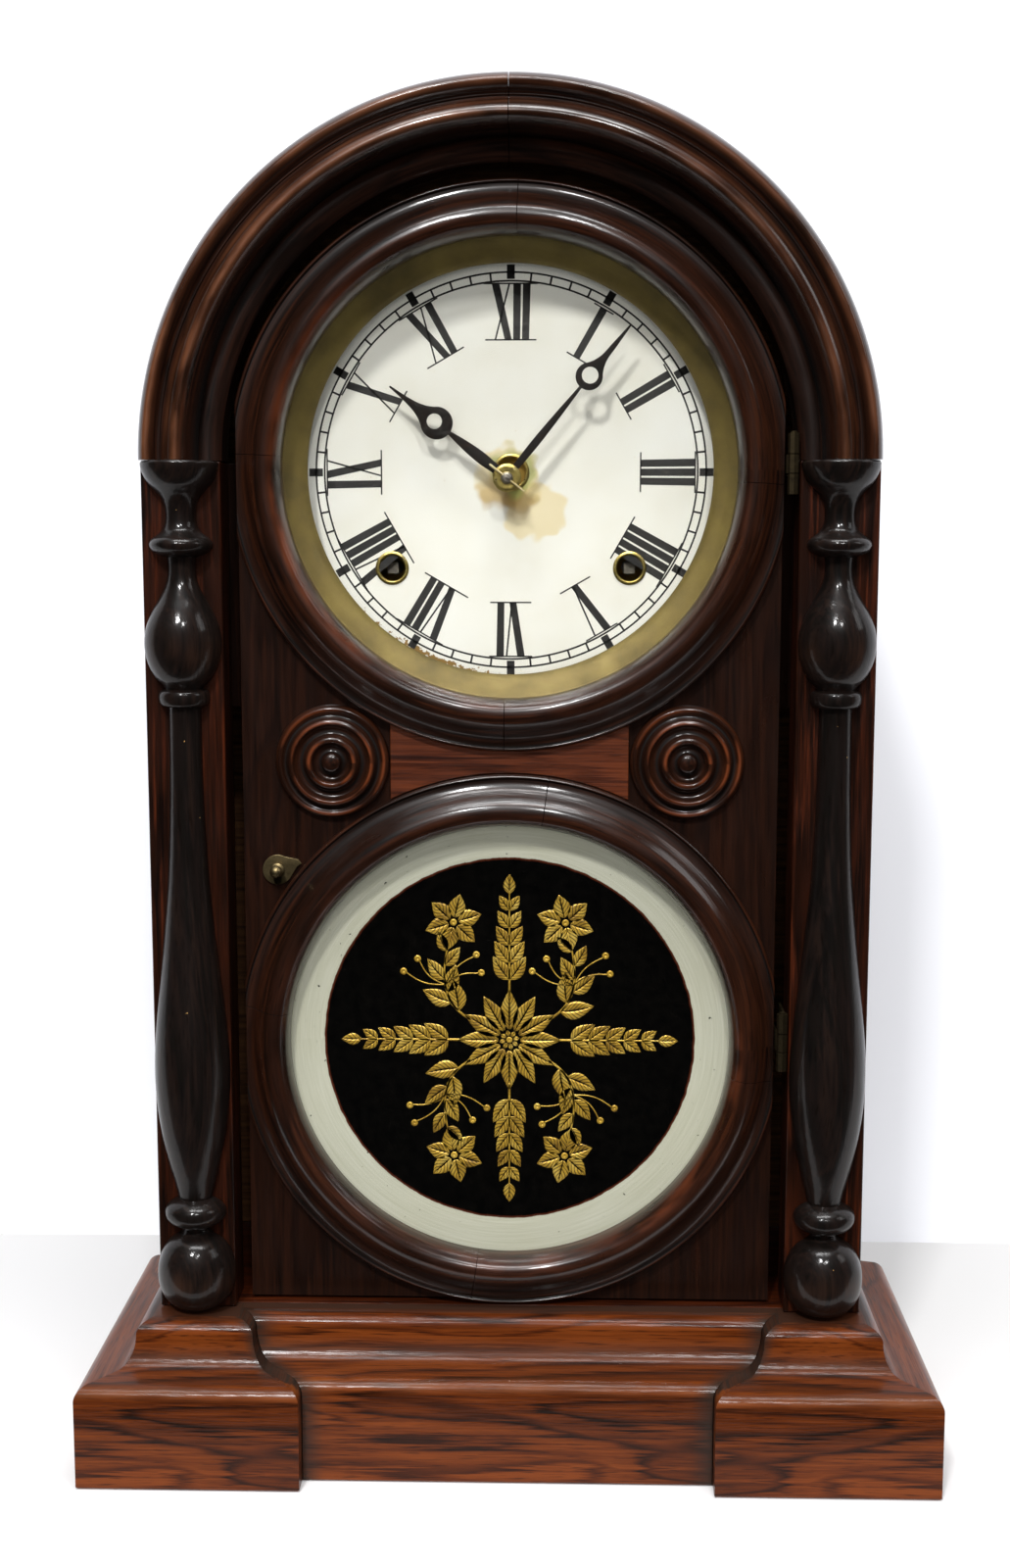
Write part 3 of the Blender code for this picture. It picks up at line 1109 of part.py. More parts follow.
def build_clock():
    build_base()
    build_case()
    build_columns()
    build_door()
    build_hinge_leaves("case")
    build_dial()
    minute_pieces, hour_hand = build_hands()
    second = second_place()
    escape = (HUB_X, HUB_Z - ESCAPE_DROP)
    verge = (HUB_X, escape[1] + VERGE_RISE)
    build_plates(second, escape, verge)
    build_motion_work(minute_pieces, hour_hand)
    build_train(second)
    build_escapement(escape, verge)
    build_strike()


build_clock()
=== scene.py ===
import math

import bmesh
import bpy
import numpy as np
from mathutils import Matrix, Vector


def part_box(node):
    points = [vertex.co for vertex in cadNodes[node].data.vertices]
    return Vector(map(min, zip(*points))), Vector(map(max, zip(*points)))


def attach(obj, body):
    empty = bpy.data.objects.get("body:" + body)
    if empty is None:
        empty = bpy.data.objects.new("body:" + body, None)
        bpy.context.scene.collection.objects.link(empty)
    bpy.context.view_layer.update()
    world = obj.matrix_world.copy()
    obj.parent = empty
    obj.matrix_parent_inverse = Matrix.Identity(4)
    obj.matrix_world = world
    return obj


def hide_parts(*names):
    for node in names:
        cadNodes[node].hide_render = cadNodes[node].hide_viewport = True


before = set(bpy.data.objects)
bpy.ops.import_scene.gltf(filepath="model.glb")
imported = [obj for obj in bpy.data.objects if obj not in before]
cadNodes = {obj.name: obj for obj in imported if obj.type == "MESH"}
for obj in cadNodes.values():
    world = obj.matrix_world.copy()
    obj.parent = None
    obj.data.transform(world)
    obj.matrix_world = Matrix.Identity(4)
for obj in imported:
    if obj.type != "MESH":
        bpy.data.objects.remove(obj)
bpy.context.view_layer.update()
print("stage: frame loaded,", len(cadNodes), "nodes")


def spanOf(node):
    # lowest and highest corner of a node at rest, as arrays
    low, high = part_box(node)
    return np.array(low, float), np.array(high, float)


# Places taken from the frame, in metres
ringLow, ringHigh = spanOf("dial_ring")
tabletLow, tabletHigh = spanOf("tablet_ring")
glassLow, glassHigh = spanOf("dial_glass")
pilasterLow, pilasterHigh = spanOf("pilaster_right")
archLow = spanOf("arch_moulding_right")[0]
blockLow, blockHigh = spanOf("base_moulding_right")
centreLow, centreHigh = spanOf("base_front_moulding")
plateLow = spanOf("dial_plate")[0]
dialZ = (ringLow[2] + ringHigh[2]) / 2
tabletZ = (tabletLow[2] + tabletHigh[2]) / 2
ringRadius = (ringHigh[2] - ringLow[2]) / 2
ringHalf = ringHigh[0]
glassRadius = (glassHigh[2] - glassLow[2]) / 2
springZ = archLow[2]
caseHalf = pilasterHigh[0]
openingHalf = pilasterLow[0]
pilasterFront = pilasterLow[1]
baseTop = blockHigh[2]
dialFront = plateLow[1]


# Geometry helpers


def curveThrough(points, steps):
    # smooth line through the points: on each span a cubic that leaves and meets the points with the slope
    # of their neighbours; a point written twice is a corner
    p = np.asarray(points, float)
    corners = np.flatnonzero(np.all(np.isclose(p[1:], p[:-1], atol=1e-9), axis=1))
    t = np.linspace(0, 1, steps, endpoint=False)[:, None]
    lines = []
    for run in np.split(p, corners + 1):
        if len(run) > 1:
            way = np.r_[0, np.cumsum(np.linalg.norm(np.diff(run, axis=0), axis=1))]
            slope = np.gradient(run, way, axis=0)
            length = np.diff(way)[:, None, None]
            start, end = run[:-1, None], run[1:, None]
            cubic = start * (2 * t**3 - 3 * t**2 + 1) + end * (3 * t**2 - 2 * t**3)
            cubic = cubic + length * (slope[:-1, None] * (t**3 - 2 * t**2 + t) + slope[1:, None] * (t**3 - t**2))
            run = np.vstack([cubic.reshape(-1, p.shape[1]), run[-1:]])
        lines.append(run[1:] if lines else run)
    return np.vstack(lines)


def lengthAlong(points):
    # running length of a line: the sum of its steps up to each point
    return np.r_[0, np.cumsum(np.linalg.norm(np.diff(np.asarray(points, float), axis=0), axis=1))]


def gridPart(points, wrapRows=False, wrapColumns=False, along=None, across=None):
    # rows and columns of points joined by quads; along and across are the grain's lengths for each row and column
    rows, columns = points.shape[:2]
    r, c = np.meshgrid(np.arange(rows - (not wrapRows)), np.arange(columns - (not wrapColumns)), indexing="ij")
    corners = [(r, c), (r + 1, c), (r + 1, c + 1), (r, c + 1)]
    quads = np.stack([(a % rows) * columns + b % columns for a, b in corners], -1).reshape(-1, 4)
    along = np.arange(rows + 1) * 0.001 if along is None else along
    across = np.arange(columns + 1) * 0.001 if across is None else across
    grain = np.stack([np.stack([along[a], across[b]], -1) for a, b in corners], -2).reshape(-1, 2)
    return points.reshape(-1, 3), quads, grain


def capPart(points):
    # one flat face through the points
    points = np.asarray(points, float)
    return points, np.arange(len(points))[None], np.zeros((len(points), 2))


def turnedPart(profile, place, upright=False, steps=96, start=0.0, sweep=2 * math.pi, closed=False):
    # the profile's radius is carried round the axis by the angle, its height runs along the axis,
    # which points to the front, or up when upright
    profile = np.asarray(profile, float)
    full = sweep > 6.28
    angle = start + np.linspace(0, sweep, steps, endpoint=not full)
    r, h = profile[:, 0], profile[:, 1]
    flat = np.stack([np.cos(angle)[:, None] * r, np.sin(angle)[:, None] * r], -1)
    high = np.broadcast_to(h, flat.shape[:2])
    if upright:
        points = np.stack([flat[..., 0], flat[..., 1], high], -1)
    else:
        points = np.stack([flat[..., 0], -high, flat[..., 1]], -1)
    way = lengthAlong(np.vstack([profile, profile[:1]]))
    turn = np.r_[angle, start + sweep] * max(r.max(), 1e-6)
    return gridPart(points + np.asarray(place, float), full, closed, turn, way)


def flatPart(loops, front, back, place=(0.0, 0.0), bevel=0.0):
    # outlines in x and z with holes, filled by a flat curve that is a mesh before it is put in its place
    curve = bpy.data.curves.new("outline", "CURVE")
    curve.dimensions = "2D"
    curve.fill_mode = "BOTH"
    curve.extrude = (back - front) / 2 - bevel
    curve.bevel_depth = bevel
    curve.offset = -bevel
    for loop in loops:
        loop = np.asarray(loop, float)
        spline = curve.splines.new("POLY")
        spline.points.add(len(loop) - 1)
        spline.points.foreach_set("co", np.c_[loop, np.zeros(len(loop)), np.ones(len(loop))].ravel())
        spline.use_cyclic_u = True
    holder = bpy.data.objects.new("outline", curve)
    bpy.context.scene.collection.objects.link(holder)
    mesh = holder.to_mesh()
    points = np.empty(len(mesh.vertices) * 3)
    mesh.vertices.foreach_get("co", points)
    points = points.reshape(-1, 3)
    faces = [list(polygon.vertices) for polygon in mesh.polygons]
    points = np.stack([points[:, 0] + place[0], (front + back) / 2 - points[:, 2], points[:, 1] + place[1]], -1)
    holder.to_mesh_clear()
    bpy.data.objects.remove(holder)
    bpy.data.curves.remove(curve)
    grain = np.concatenate([points[face][:, [2, 0]] for face in faces])
    return points, faces, grain


def circleLine(radius, steps, place=(0.0, 0.0), start=0.0, end=360.0, closed=False):
    # points of an arc, by the cosine and sine of evenly spaced angles in degrees
    a = np.radians(np.linspace(start, end, steps, endpoint=closed))
    return np.stack([place[0] + radius * np.cos(a), place[1] + radius * np.sin(a)], -1)


def bells(values, humps):
    # sum of bell curves, each with its place, its width and its weight
    return sum(weight * np.exp(-((values - place) / width) ** 2) for place, width, weight in humps)


def addPiece(name, parts, finish, body, replaces=(), marks=None, sharp=30, weld=2e-6):
    # joins the parts into one mesh with the grain lengths as its map and the marks as point values
    points = np.vstack([part[0] for part in parts])
    shift = np.cumsum([0] + [len(part[0]) for part in parts[:-1]])
    faces = [(np.asarray(face) + step).tolist() for part, step in zip(parts, shift) for face in part[1]]
    mesh = bpy.data.meshes.new(name)
    mesh.from_pydata(points, [], faces)
    grain = mesh.uv_layers.new(name="grain")
    grain.data.foreach_set("uv", np.concatenate([part[2] for part in parts]).ravel())
    for key, values in (marks or {}).items():
        mesh.attributes.new(key, "FLOAT", "POINT").data.foreach_set("value", np.asarray(values, np.float32).ravel())
    work = bmesh.new()
    work.from_mesh(mesh)
    bmesh.ops.remove_doubles(work, verts=work.verts, dist=weld)
    bmesh.ops.dissolve_degenerate(work, edges=work.edges, dist=weld / 4)
    bmesh.ops.recalc_face_normals(work, faces=work.faces)
    work.to_mesh(mesh)
    work.free()
    mesh.shade_smooth()
    mesh.set_sharp_from_angle(angle=math.radians(sharp))
    piece = bpy.data.objects.new(name, mesh)
    bpy.context.scene.collection.objects.link(piece)
    mesh.materials.append(finish)
    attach(piece, body)
    if replaces:
        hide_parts(*replaces)
    return piece


# Materials


def hexColour(text):
    # sRGB hex to linear
    value = np.array([int(text[i:i + 2], 16) for i in (1, 3, 5)]) / 255
    value = np.where(value <= 0.04045, value / 12.92, ((value + 0.055) / 1.055) ** 2.4)
    return (*value.tolist(), 1.0)


def addNode(tree, kind, inputs=None, stops=None, **settings):
    # adds one node with its settings; an input that is a socket is linked, any other is set
    node = tree.nodes.new("ShaderNode" + kind)
    for key, value in settings.items():
        setattr(node, key, value)
    for key, value in (inputs or {}).items():
        if isinstance(value, bpy.types.NodeSocket):
            tree.links.new(value, node.inputs[key])
        else:
            node.inputs[key].default_value = value
    if stops:
        ramp = node.color_ramp
        while len(ramp.elements) < len(stops):
            ramp.elements.new(0.5)
        for element, (place, colour) in zip(ramp.elements, stops):
            element.position = place
            element.color = hexColour(colour)
    return node


def newFinish(name):
    # an empty material with its shader and output
    made = bpy.data.materials.new(name)
    made.use_nodes = True
    made.node_tree.nodes.clear()
    shader = addNode(made.node_tree, "BsdfPrincipled")
    addNode(made.node_tree, "OutputMaterial", {"Surface": shader.outputs[0]})
    return made, made.node_tree, shader


def grainSpace(tree, look):
    # millimetres with x along the grain: the piece's own map, or its place with the named axis first
    if look["grain"] == "map":
        space = addNode(tree, "UVMap", uv_map="grain").outputs[0]
    else:
        part = addNode(tree, "SeparateXYZ", {0: addNode(tree, "TexCoord").outputs["Object"]}).outputs
        first = {"x": 0, "y": 1, "z": 2}[look["grain"]]
        others = [i for i in range(3) if i != first]
        sideways = addNode(tree, "Math", {0: part[others[0]], 1: part[others[1]]}, operation="ADD").outputs[0]
        space = addNode(tree, "CombineXYZ", {0: part[first], 1: sideways, 2: part[others[1]]}).outputs[0]
    return addNode(tree, "VectorMath", {0: space, "Scale": 1000.0}, operation="SCALE").outputs[0]


def woodFinish(name, look):
    # old varnished timber: cathedral figure along the grain, dark streaks and pores, dulled varnish
    made, tree, shader = newFinish(name)
    space = grainSpace(tree, look)
    stretched = {}
    for key, (along, across) in look["fibres"].items():
        scale = (1 / along, 1 / across, 1 / across)
        stretched[key] = addNode(tree, "Mapping", {"Vector": space, "Scale": scale,
                                                   "Location": look["offset"]}).outputs[0]
    figure = addNode(tree, "TexNoise", {"Vector": stretched["figure"], "Scale": 1.0, "Detail": 1.5,
                                        "Roughness": 0.45, "Distortion": 0.35}).outputs[0]
    streaks = addNode(tree, "TexNoise", {"Vector": stretched["streak"], "Scale": 1.0, "Detail": 4.0,
                                         "Roughness": 0.6}).outputs[0]
    # the fibres feather the edges of the figure
    rings = addNode(tree, "Math", {0: streaks, 1: look["feather"]}, operation="MULTIPLY").outputs[0]
    rings = addNode(tree, "Math", {0: figure, 1: look["rings"], 2: rings}, operation="MULTIPLY_ADD").outputs[0]
    rings = addNode(tree, "Math", {0: rings, 1: 0.5}, operation="PINGPONG").outputs[0]
    lines = addNode(tree, "MapRange", {0: rings, 1: 0.0, 2: 0.22, 3: 0.0, 4: look["lines"]}).outputs[0]
    fibres = addNode(tree, "MapRange", {0: streaks, 1: 0.3, 2: 0.7, 3: 0.0, 4: 0.85 - look["lines"]}).outputs[0]
    blend = addNode(tree, "Math", {0: lines, 1: fibres}, operation="ADD").outputs[0]
    cloud = addNode(tree, "MapRange", {0: figure, 1: 0.35, 2: 0.65, 3: -look["cloud"], 4: look["cloud"]}).outputs[0]
    blend = addNode(tree, "Math", {0: cloud, 1: blend}, operation="ADD").outputs[0]
    blend = addNode(tree, "Math", {0: blend, 1: 0.13}, operation="ADD").outputs[0]
    colour = addNode(tree, "ValToRGB", {0: blend}, stops=look["tones"]).outputs[0]
    pores = addNode(tree, "TexNoise", {"Vector": stretched["pore"], "Scale": 1.0, "Detail": 2.0}).outputs[0]
    poreMask = addNode(tree, "MapRange", {0: pores, 1: 0.56, 2: 0.7, 3: 0.0, 4: look["pores"]}).outputs[0]
    poreTone = hexColour(look["poreColour"])
    colour = addNode(tree, "Mix", {0: poreMask, 6: colour, 7: poreTone}, data_type="RGBA").outputs[2]
    patch = addNode(tree, "TexNoise", {"Vector": stretched["patch"], "Scale": 1.0, "Detail": 3.0}).outputs[0]
    worn = addNode(tree, "Attribute", attribute_name="crest").outputs["Fac"]
    wornFrom, wornTo, wornLeast = look["wornAt"]
    rubbed = addNode(tree, "MapRange", {0: patch, 1: wornFrom, 2: wornTo, 3: wornLeast, 4: 1.0}).outputs[0]
    worn = addNode(tree, "Math", {0: worn, 1: rubbed}, operation="MULTIPLY").outputs[0]
    colour = addNode(tree, "Mix", {0: worn, 6: colour, 7: hexColour(look["worn"])}, data_type="RGBA").outputs[2]
    # a point mark darkens the colour: dirt and dark seams in some places, painted shade in grooves, coves, recesses and
    # under the door in others
    dirtAndShade = addNode(tree, "Attribute", attribute_name="grimeAndShade").outputs["Fac"]
    caught = addNode(tree, "MapRange", {0: streaks, 1: 0.3, 2: 0.6, 3: 0.5, 4: 1.0}).outputs[0]
    dirtAndShade = addNode(tree, "Math", {0: dirtAndShade, 1: caught}, operation="MULTIPLY").outputs[0]
    colour = addNode(tree, "Mix", {0: dirtAndShade, 6: colour, 7: hexColour(look["grimeAndShade"])}, data_type="RGBA").outputs[2]
    chip = addNode(tree, "TexNoise", {"Vector": space, "Scale": look["chipScale"], "Detail": 3.0}).outputs[0]
    chip = addNode(tree, "MapRange", {0: chip, 1: look["chipAt"], 2: look["chipAt"] + 0.015}).outputs[0]
    colour = addNode(tree, "Mix", {0: chip, 6: colour, 7: hexColour(look["chip"])}, data_type="RGBA").outputs[2]
    rough = addNode(tree, "MapRange", {0: patch, 1: 0.3, 2: 0.7, 3: look["rough"][0], 4: look["rough"][1]}).outputs[0]
    rough = addNode(tree, "Math", {0: dirtAndShade, 1: 0.35, 2: rough}, operation="MULTIPLY_ADD").outputs[0]
    bump = addNode(tree, "Bump", {"Height": pores, "Strength": look["bump"], "Distance": 0.0002}).outputs[0]
    for key, value in {"Base Color": colour, "Roughness": rough, "Normal": bump, "Coat Normal": bump}.items():
        tree.links.new(value, shader.inputs[key])
    shader.inputs["Specular IOR Level"].default_value = look["gloss"]
    shader.inputs["Coat Weight"].default_value = look["varnish"]
    shader.inputs["Coat Roughness"].default_value = look["varnishRough"]
    return made


woodLook = {
    "grain": "map", "offset": (0.0, 0.0, 0.0), "rings": 6.0, "lines": 0.27, "cloud": 0.04, "feather": 1.1,
    # pores are near 0.3 mm across in the real timber, drawn at 0.7 mm so that they show
    # each noise has its length along and across the grain, in mm
    "fibres": {"figure": (130.0, 22.0), "streak": (48.0, 1.8), "pore": (11.0, 0.7), "patch": (26.0, 7.0)},
    "tones": [(0.22, "#160904"), (0.42, "#381707"), (0.64, "#53240A"), (0.9, "#6C3310")],
    # dark grey-brown of dirt; on the base it also paints shade in the corners, the cove and the top strip under the
    # door
    "pores": 0.65, "poreColour": "#1E0C07", "worn": "#9A5A30", "grimeAndShade": "#2B211B",
    "chip": "#B98A55", "chipScale": 0.25, "chipAt": 0.8, "rough": (0.3, 0.46), "bump": 0.35,
    "gloss": 0.25, "varnish": 0.8, "varnishRough": 0.22, "wornAt": (0.35, 0.65, 0.15),
}
# red-brown rosewood with dark figure, for the base mouldings
baseWood = woodFinish("rosewood_moulding", {**woodLook, "gloss": 0.06, "varnish": 0.22, "varnishRough": 0.16,
                                            "rough": (0.26, 0.4), "cloud": 0.16, "rings": 8.0, "lines": 0.34})
# the same timber with upright grain, for the case sides and the hoop over them
boardWood = woodFinish("rosewood_board", {**woodLook, "grain": "z", "offset": (3.0, 1.0, 0.0), "rings": 7.0,
                                          "varnish": 0.4, "gloss": 0.15, "cloud": 0.1,
                                          "tones": [(0.2, "#170905"), (0.42, "#311409"), (0.64, "#4E210C"),
                                                    (0.9, "#6E3212")]})
# darker tones than the side boards: partly the pilasters' own darker finish, partly painted shade of the columns; a red
# streak here and there
shadedPilasterWood = woodFinish("rosewood_pilaster_shaded", {**woodLook, "grain": "z", "offset": (6.0, 2.5, 0.0), "rings": 5.0,
                                                "varnish": 0.25, "gloss": 0.12,
                                                "tones": [(0.3, "#0E0503"), (0.52, "#1B0A04"), (0.72, "#2A1006"),
                                                          (0.92, "#461C0A")]})
# bright red-orange veneer across the bridge
bridgeWood = woodFinish("rosewood_veneer", {**woodLook, "grain": "x", "offset": (1.0, 5.0, 2.0),
                                            "tones": [(0.12, "#240E07"), (0.38, "#3B1809"), (0.62, "#4E220E"),
                                                      (0.88, "#5F2C13")]})
# the board under the mouldings: its dark tones are painted shade of the door; dull
shadedLandWood = woodFinish("rosewood_land_shaded", {**woodLook, "grain": "x", "offset": (2.0, 3.0, 1.0),
                                        "varnish": 0.1, "gloss": 0.1,
                                        "tones": [(0.2, "#140703"), (0.42, "#260E06"), (0.64, "#3A1708"),
                                                  (0.9, "#4A1F0C")]})
darkLook = {
    **woodLook, "tones": [(0.2, "#0A0504"), (0.42, "#170A05"), (0.65, "#231008"), (0.9, "#34190C")],
    # near-black that paints shade in the grooves of the arch, rings and rosettes and darkens the rings' seams
    "poreColour": "#0A0503", "worn": "#5E2C13", "grimeAndShade": "#060403", "rough": (0.26, 0.4), "varnish": 0.6,
    "varnishRough": 0.14, "bump": 0.22, "wornAt": (0.42, 0.7, 0.0),
}
# nearly black stained moulding with red-brown worn crests, for the rings and rosettes
darkWood = woodFinish("stained_moulding", darkLook)
# the arch is rubbed to a dry brown along its beads
archWood = woodFinish("rubbed_moulding", {**darkLook, "worn": "#6E4229", "wornAt": (0.38, 0.64, 0.12)})
# the flat door board: darker still, hardly any figure
doorWood = woodFinish("stained_board", {**darkLook, "grain": "z", "chip": "#A57B4A", "chipAt": 0.79,
                                        "varnish": 0.35, "gloss": 0.15, "pores": 0.35, "bump": 0.12,
                                        "tones": [(0.2, "#110805"), (0.42, "#170B07"), (0.65, "#1D0E08"),
                                                  (0.9, "#25120A")]})
# black polished turnings with small pale chips
ebonyWood = woodFinish("ebonised_turning", {**darkLook, "grain": "z", "chip": "#B08A52", "chipAt": 0.765,
                                            "chipScale": 0.4, "worn": "#3A2418", "rough": (0.34, 0.46),
                                            "varnish": 0.42, "varnishRough": 0.12, "gloss": 0.08,
                                            "tones": [(0.15, "#090707"), (0.4, "#0F0C0A"), (0.65, "#150F0D"),
                                                      (0.9, "#1D1410")]})
# plain softwood of the back, browned by age
pineWood = woodFinish("aged_pine", {**woodLook, "grain": "x", "rings": 14.0, "varnish": 0.0, "rough": (0.6, 0.75),
                                    "tones": [(0.12, "#2C1A0F"), (0.4, "#452B18"), (0.65, "#573821"),
                                              (0.9, "#684529")], "poreColour": "#241409", "pores": 0.3})


def metalFinish(name, look):
    # rolled or cast metal: fine brushed unevenness, tarnish in patches that are darker and rougher
    made, tree, shader = newFinish(name)
    place = addNode(tree, "TexCoord").outputs["Object"]
    millimetres = addNode(tree, "VectorMath", {0: place, "Scale": 1000.0}, operation="SCALE").outputs[0]
    cloud = addNode(tree, "TexNoise", {"Vector": millimetres, "Scale": look["cloud"], "Detail": 5.0,
                                       "Roughness": 0.62}).outputs[0]
    fine = addNode(tree, "TexNoise", {"Vector": millimetres, "Scale": look["fine"], "Detail": 2.0}).outputs[0]
    colour = addNode(tree, "ValToRGB", {0: cloud}, stops=look["tones"]).outputs[0]
    rough = addNode(tree, "MapRange", {0: cloud, 1: 0.35, 2: 0.65, 3: look["rough"][1], 4: look["rough"][0]}).outputs[0]
    bump = addNode(tree, "Bump", {"Height": fine, "Strength": 0.2, "Distance": 0.0001}).outputs[0]
    for key, value in {"Base Color": colour, "Roughness": rough, "Normal": bump}.items():
        tree.links.new(value, shader.inputs[key])
    shader.inputs["Metallic"].default_value = look["metal"]
    return made


# satin olive brass that frames the dial
bezelBrass = metalFinish("satin_brass", {"cloud": 0.05, "fine": 1.4, "metal": 0.4, "rough": (0.52, 0.66),
                                         "tones": [(0.3, "#524624"), (0.5, "#64562A"), (0.7, "#736431")]})
# dull old brass of the latch
agedBrass = metalFinish("aged_brass", {"cloud": 0.35, "fine": 2.0, "metal": 1.0, "rough": (0.38, 0.6),
                                       "tones": [(0.3, "#4A4130"), (0.5, "#7A6B4C"), (0.7, "#988660")]})
# hinges that were never polished: brown all over
brownBrass = metalFinish("browned_brass", {"cloud": 0.3, "fine": 2.0, "metal": 1.0, "rough": (0.42, 0.62),
                                           "tones": [(0.3, "#2C261C"), (0.5, "#4A402E"), (0.7, "#62563F")]})
# brighter brass of the eyelets, washer, bob and bell
brightBrass = metalFinish("bright_brass", {"cloud": 0.3, "fine": 2.0, "metal": 1.0, "rough": (0.26, 0.42),
                                           "tones": [(0.3, "#7E6F3E"), (0.5, "#B5A25E"), (0.7, "#CFBF82")]})
# drawn brass wire of the pin, paler than the washer under it
pinBrass = metalFinish("brass_wire", {"cloud": 0.3, "fine": 2.0, "metal": 0.8, "rough": (0.24, 0.36),
                                      "tones": [(0.3, "#B8A878"), (0.5, "#DACB9C"), (0.7, "#EFE6C6")]})
# plates and wheels of the movement, browned by old oil
movementBrass = metalFinish("movement_brass", {"cloud": 0.08, "fine": 1.2, "metal": 1.0, "rough": (0.32, 0.5),
                                               "tones": [(0.3, "#77602C"), (0.5, "#A88A44"), (0.7, "#C0A25A")]})
# grey arbors, springs and wire
greySteel = metalFinish("grey_steel", {"cloud": 0.2, "fine": 2.0, "metal": 1.0, "rough": (0.3, 0.5),
                                       "tones": [(0.3, "#5C5852"), (0.5, "#86817A"), (0.7, "#A29D95")]})
# hands: steel gone brown-black
brownedSteel = metalFinish("browned_steel", {"cloud": 0.3, "fine": 2.0, "metal": 0.6, "rough": (0.36, 0.55),
                                             "tones": [(0.3, "#0A0706"), (0.5, "#120D0B"), (0.7, "#241914")]})


def inkFinish():
    # printed black of the dial, slightly worn to brown-grey
    made, tree, shader = newFinish("dial_ink")
    place = addNode(tree, "TexCoord").outputs["Object"]
    wear = addNode(tree, "TexNoise", {"Vector": place, "Scale": 420.0, "Detail": 4.0}).outputs[0]
    colour = addNode(tree, "ValToRGB", {0: wear}, stops=[(0.35, "#080706"), (0.66, "#12100F"), (0.82, "#3A352E")])
    tree.links.new(colour.outputs[0], shader.inputs["Base Color"])
    shader.inputs["Roughness"].default_value = 0.55
    return made


def radiusFrom(tree, place, centre):
    # millimetres from a centre in the plane of the front
    shift = addNode(tree, "VectorMath", {0: place, 1: centre}, operation="SUBTRACT").outputs[0]
    shift = addNode(tree, "VectorMath", {0: shift, 1: (1000.0, 0.0, 1000.0)}, operation="MULTIPLY").outputs[0]
    return shift, addNode(tree, "VectorMath", {0: shift}, operation="LENGTH").outputs["Value"]


# oil that ran from the hub: for each drop its place right and below in metres, the reach and softness of its dried
# edge in mm, its weight and its tone; the last is verdigris close to the brass
oilLook = {"wander": 12.0, "drops": [
    (0.0078, 0.0125, 11.0, 1.6, 0.55, "#E4CB80"), (-0.0005, 0.0020, 11.5, 1.6, 0.55, "#DEC578"),
    (-0.0032, 0.0068, 8.4, 2.8, 0.60, "#B08C40"), (0.0012, 0.0088, 7.4, 2.6, 0.62, "#866424"),
    (0.0012, 0.0002, 9.2, 2.4, 0.70, "#98A052")]}


# paint of the dial: its tones, where flakes gather right and below of the centre in metres, the rim they keep to in mm
paintLook = {"tones": [(0.3, "#ECEADF"), (0.5, "#F3F2EA"), (0.72, "#F7F7F1")], "flakes": (-0.03, 0.0665),
             "rim": (66.5, 69.5), "flake": "#8A6A34", "speck": "#B49A6A", "rough": (0.42, 0.6)}


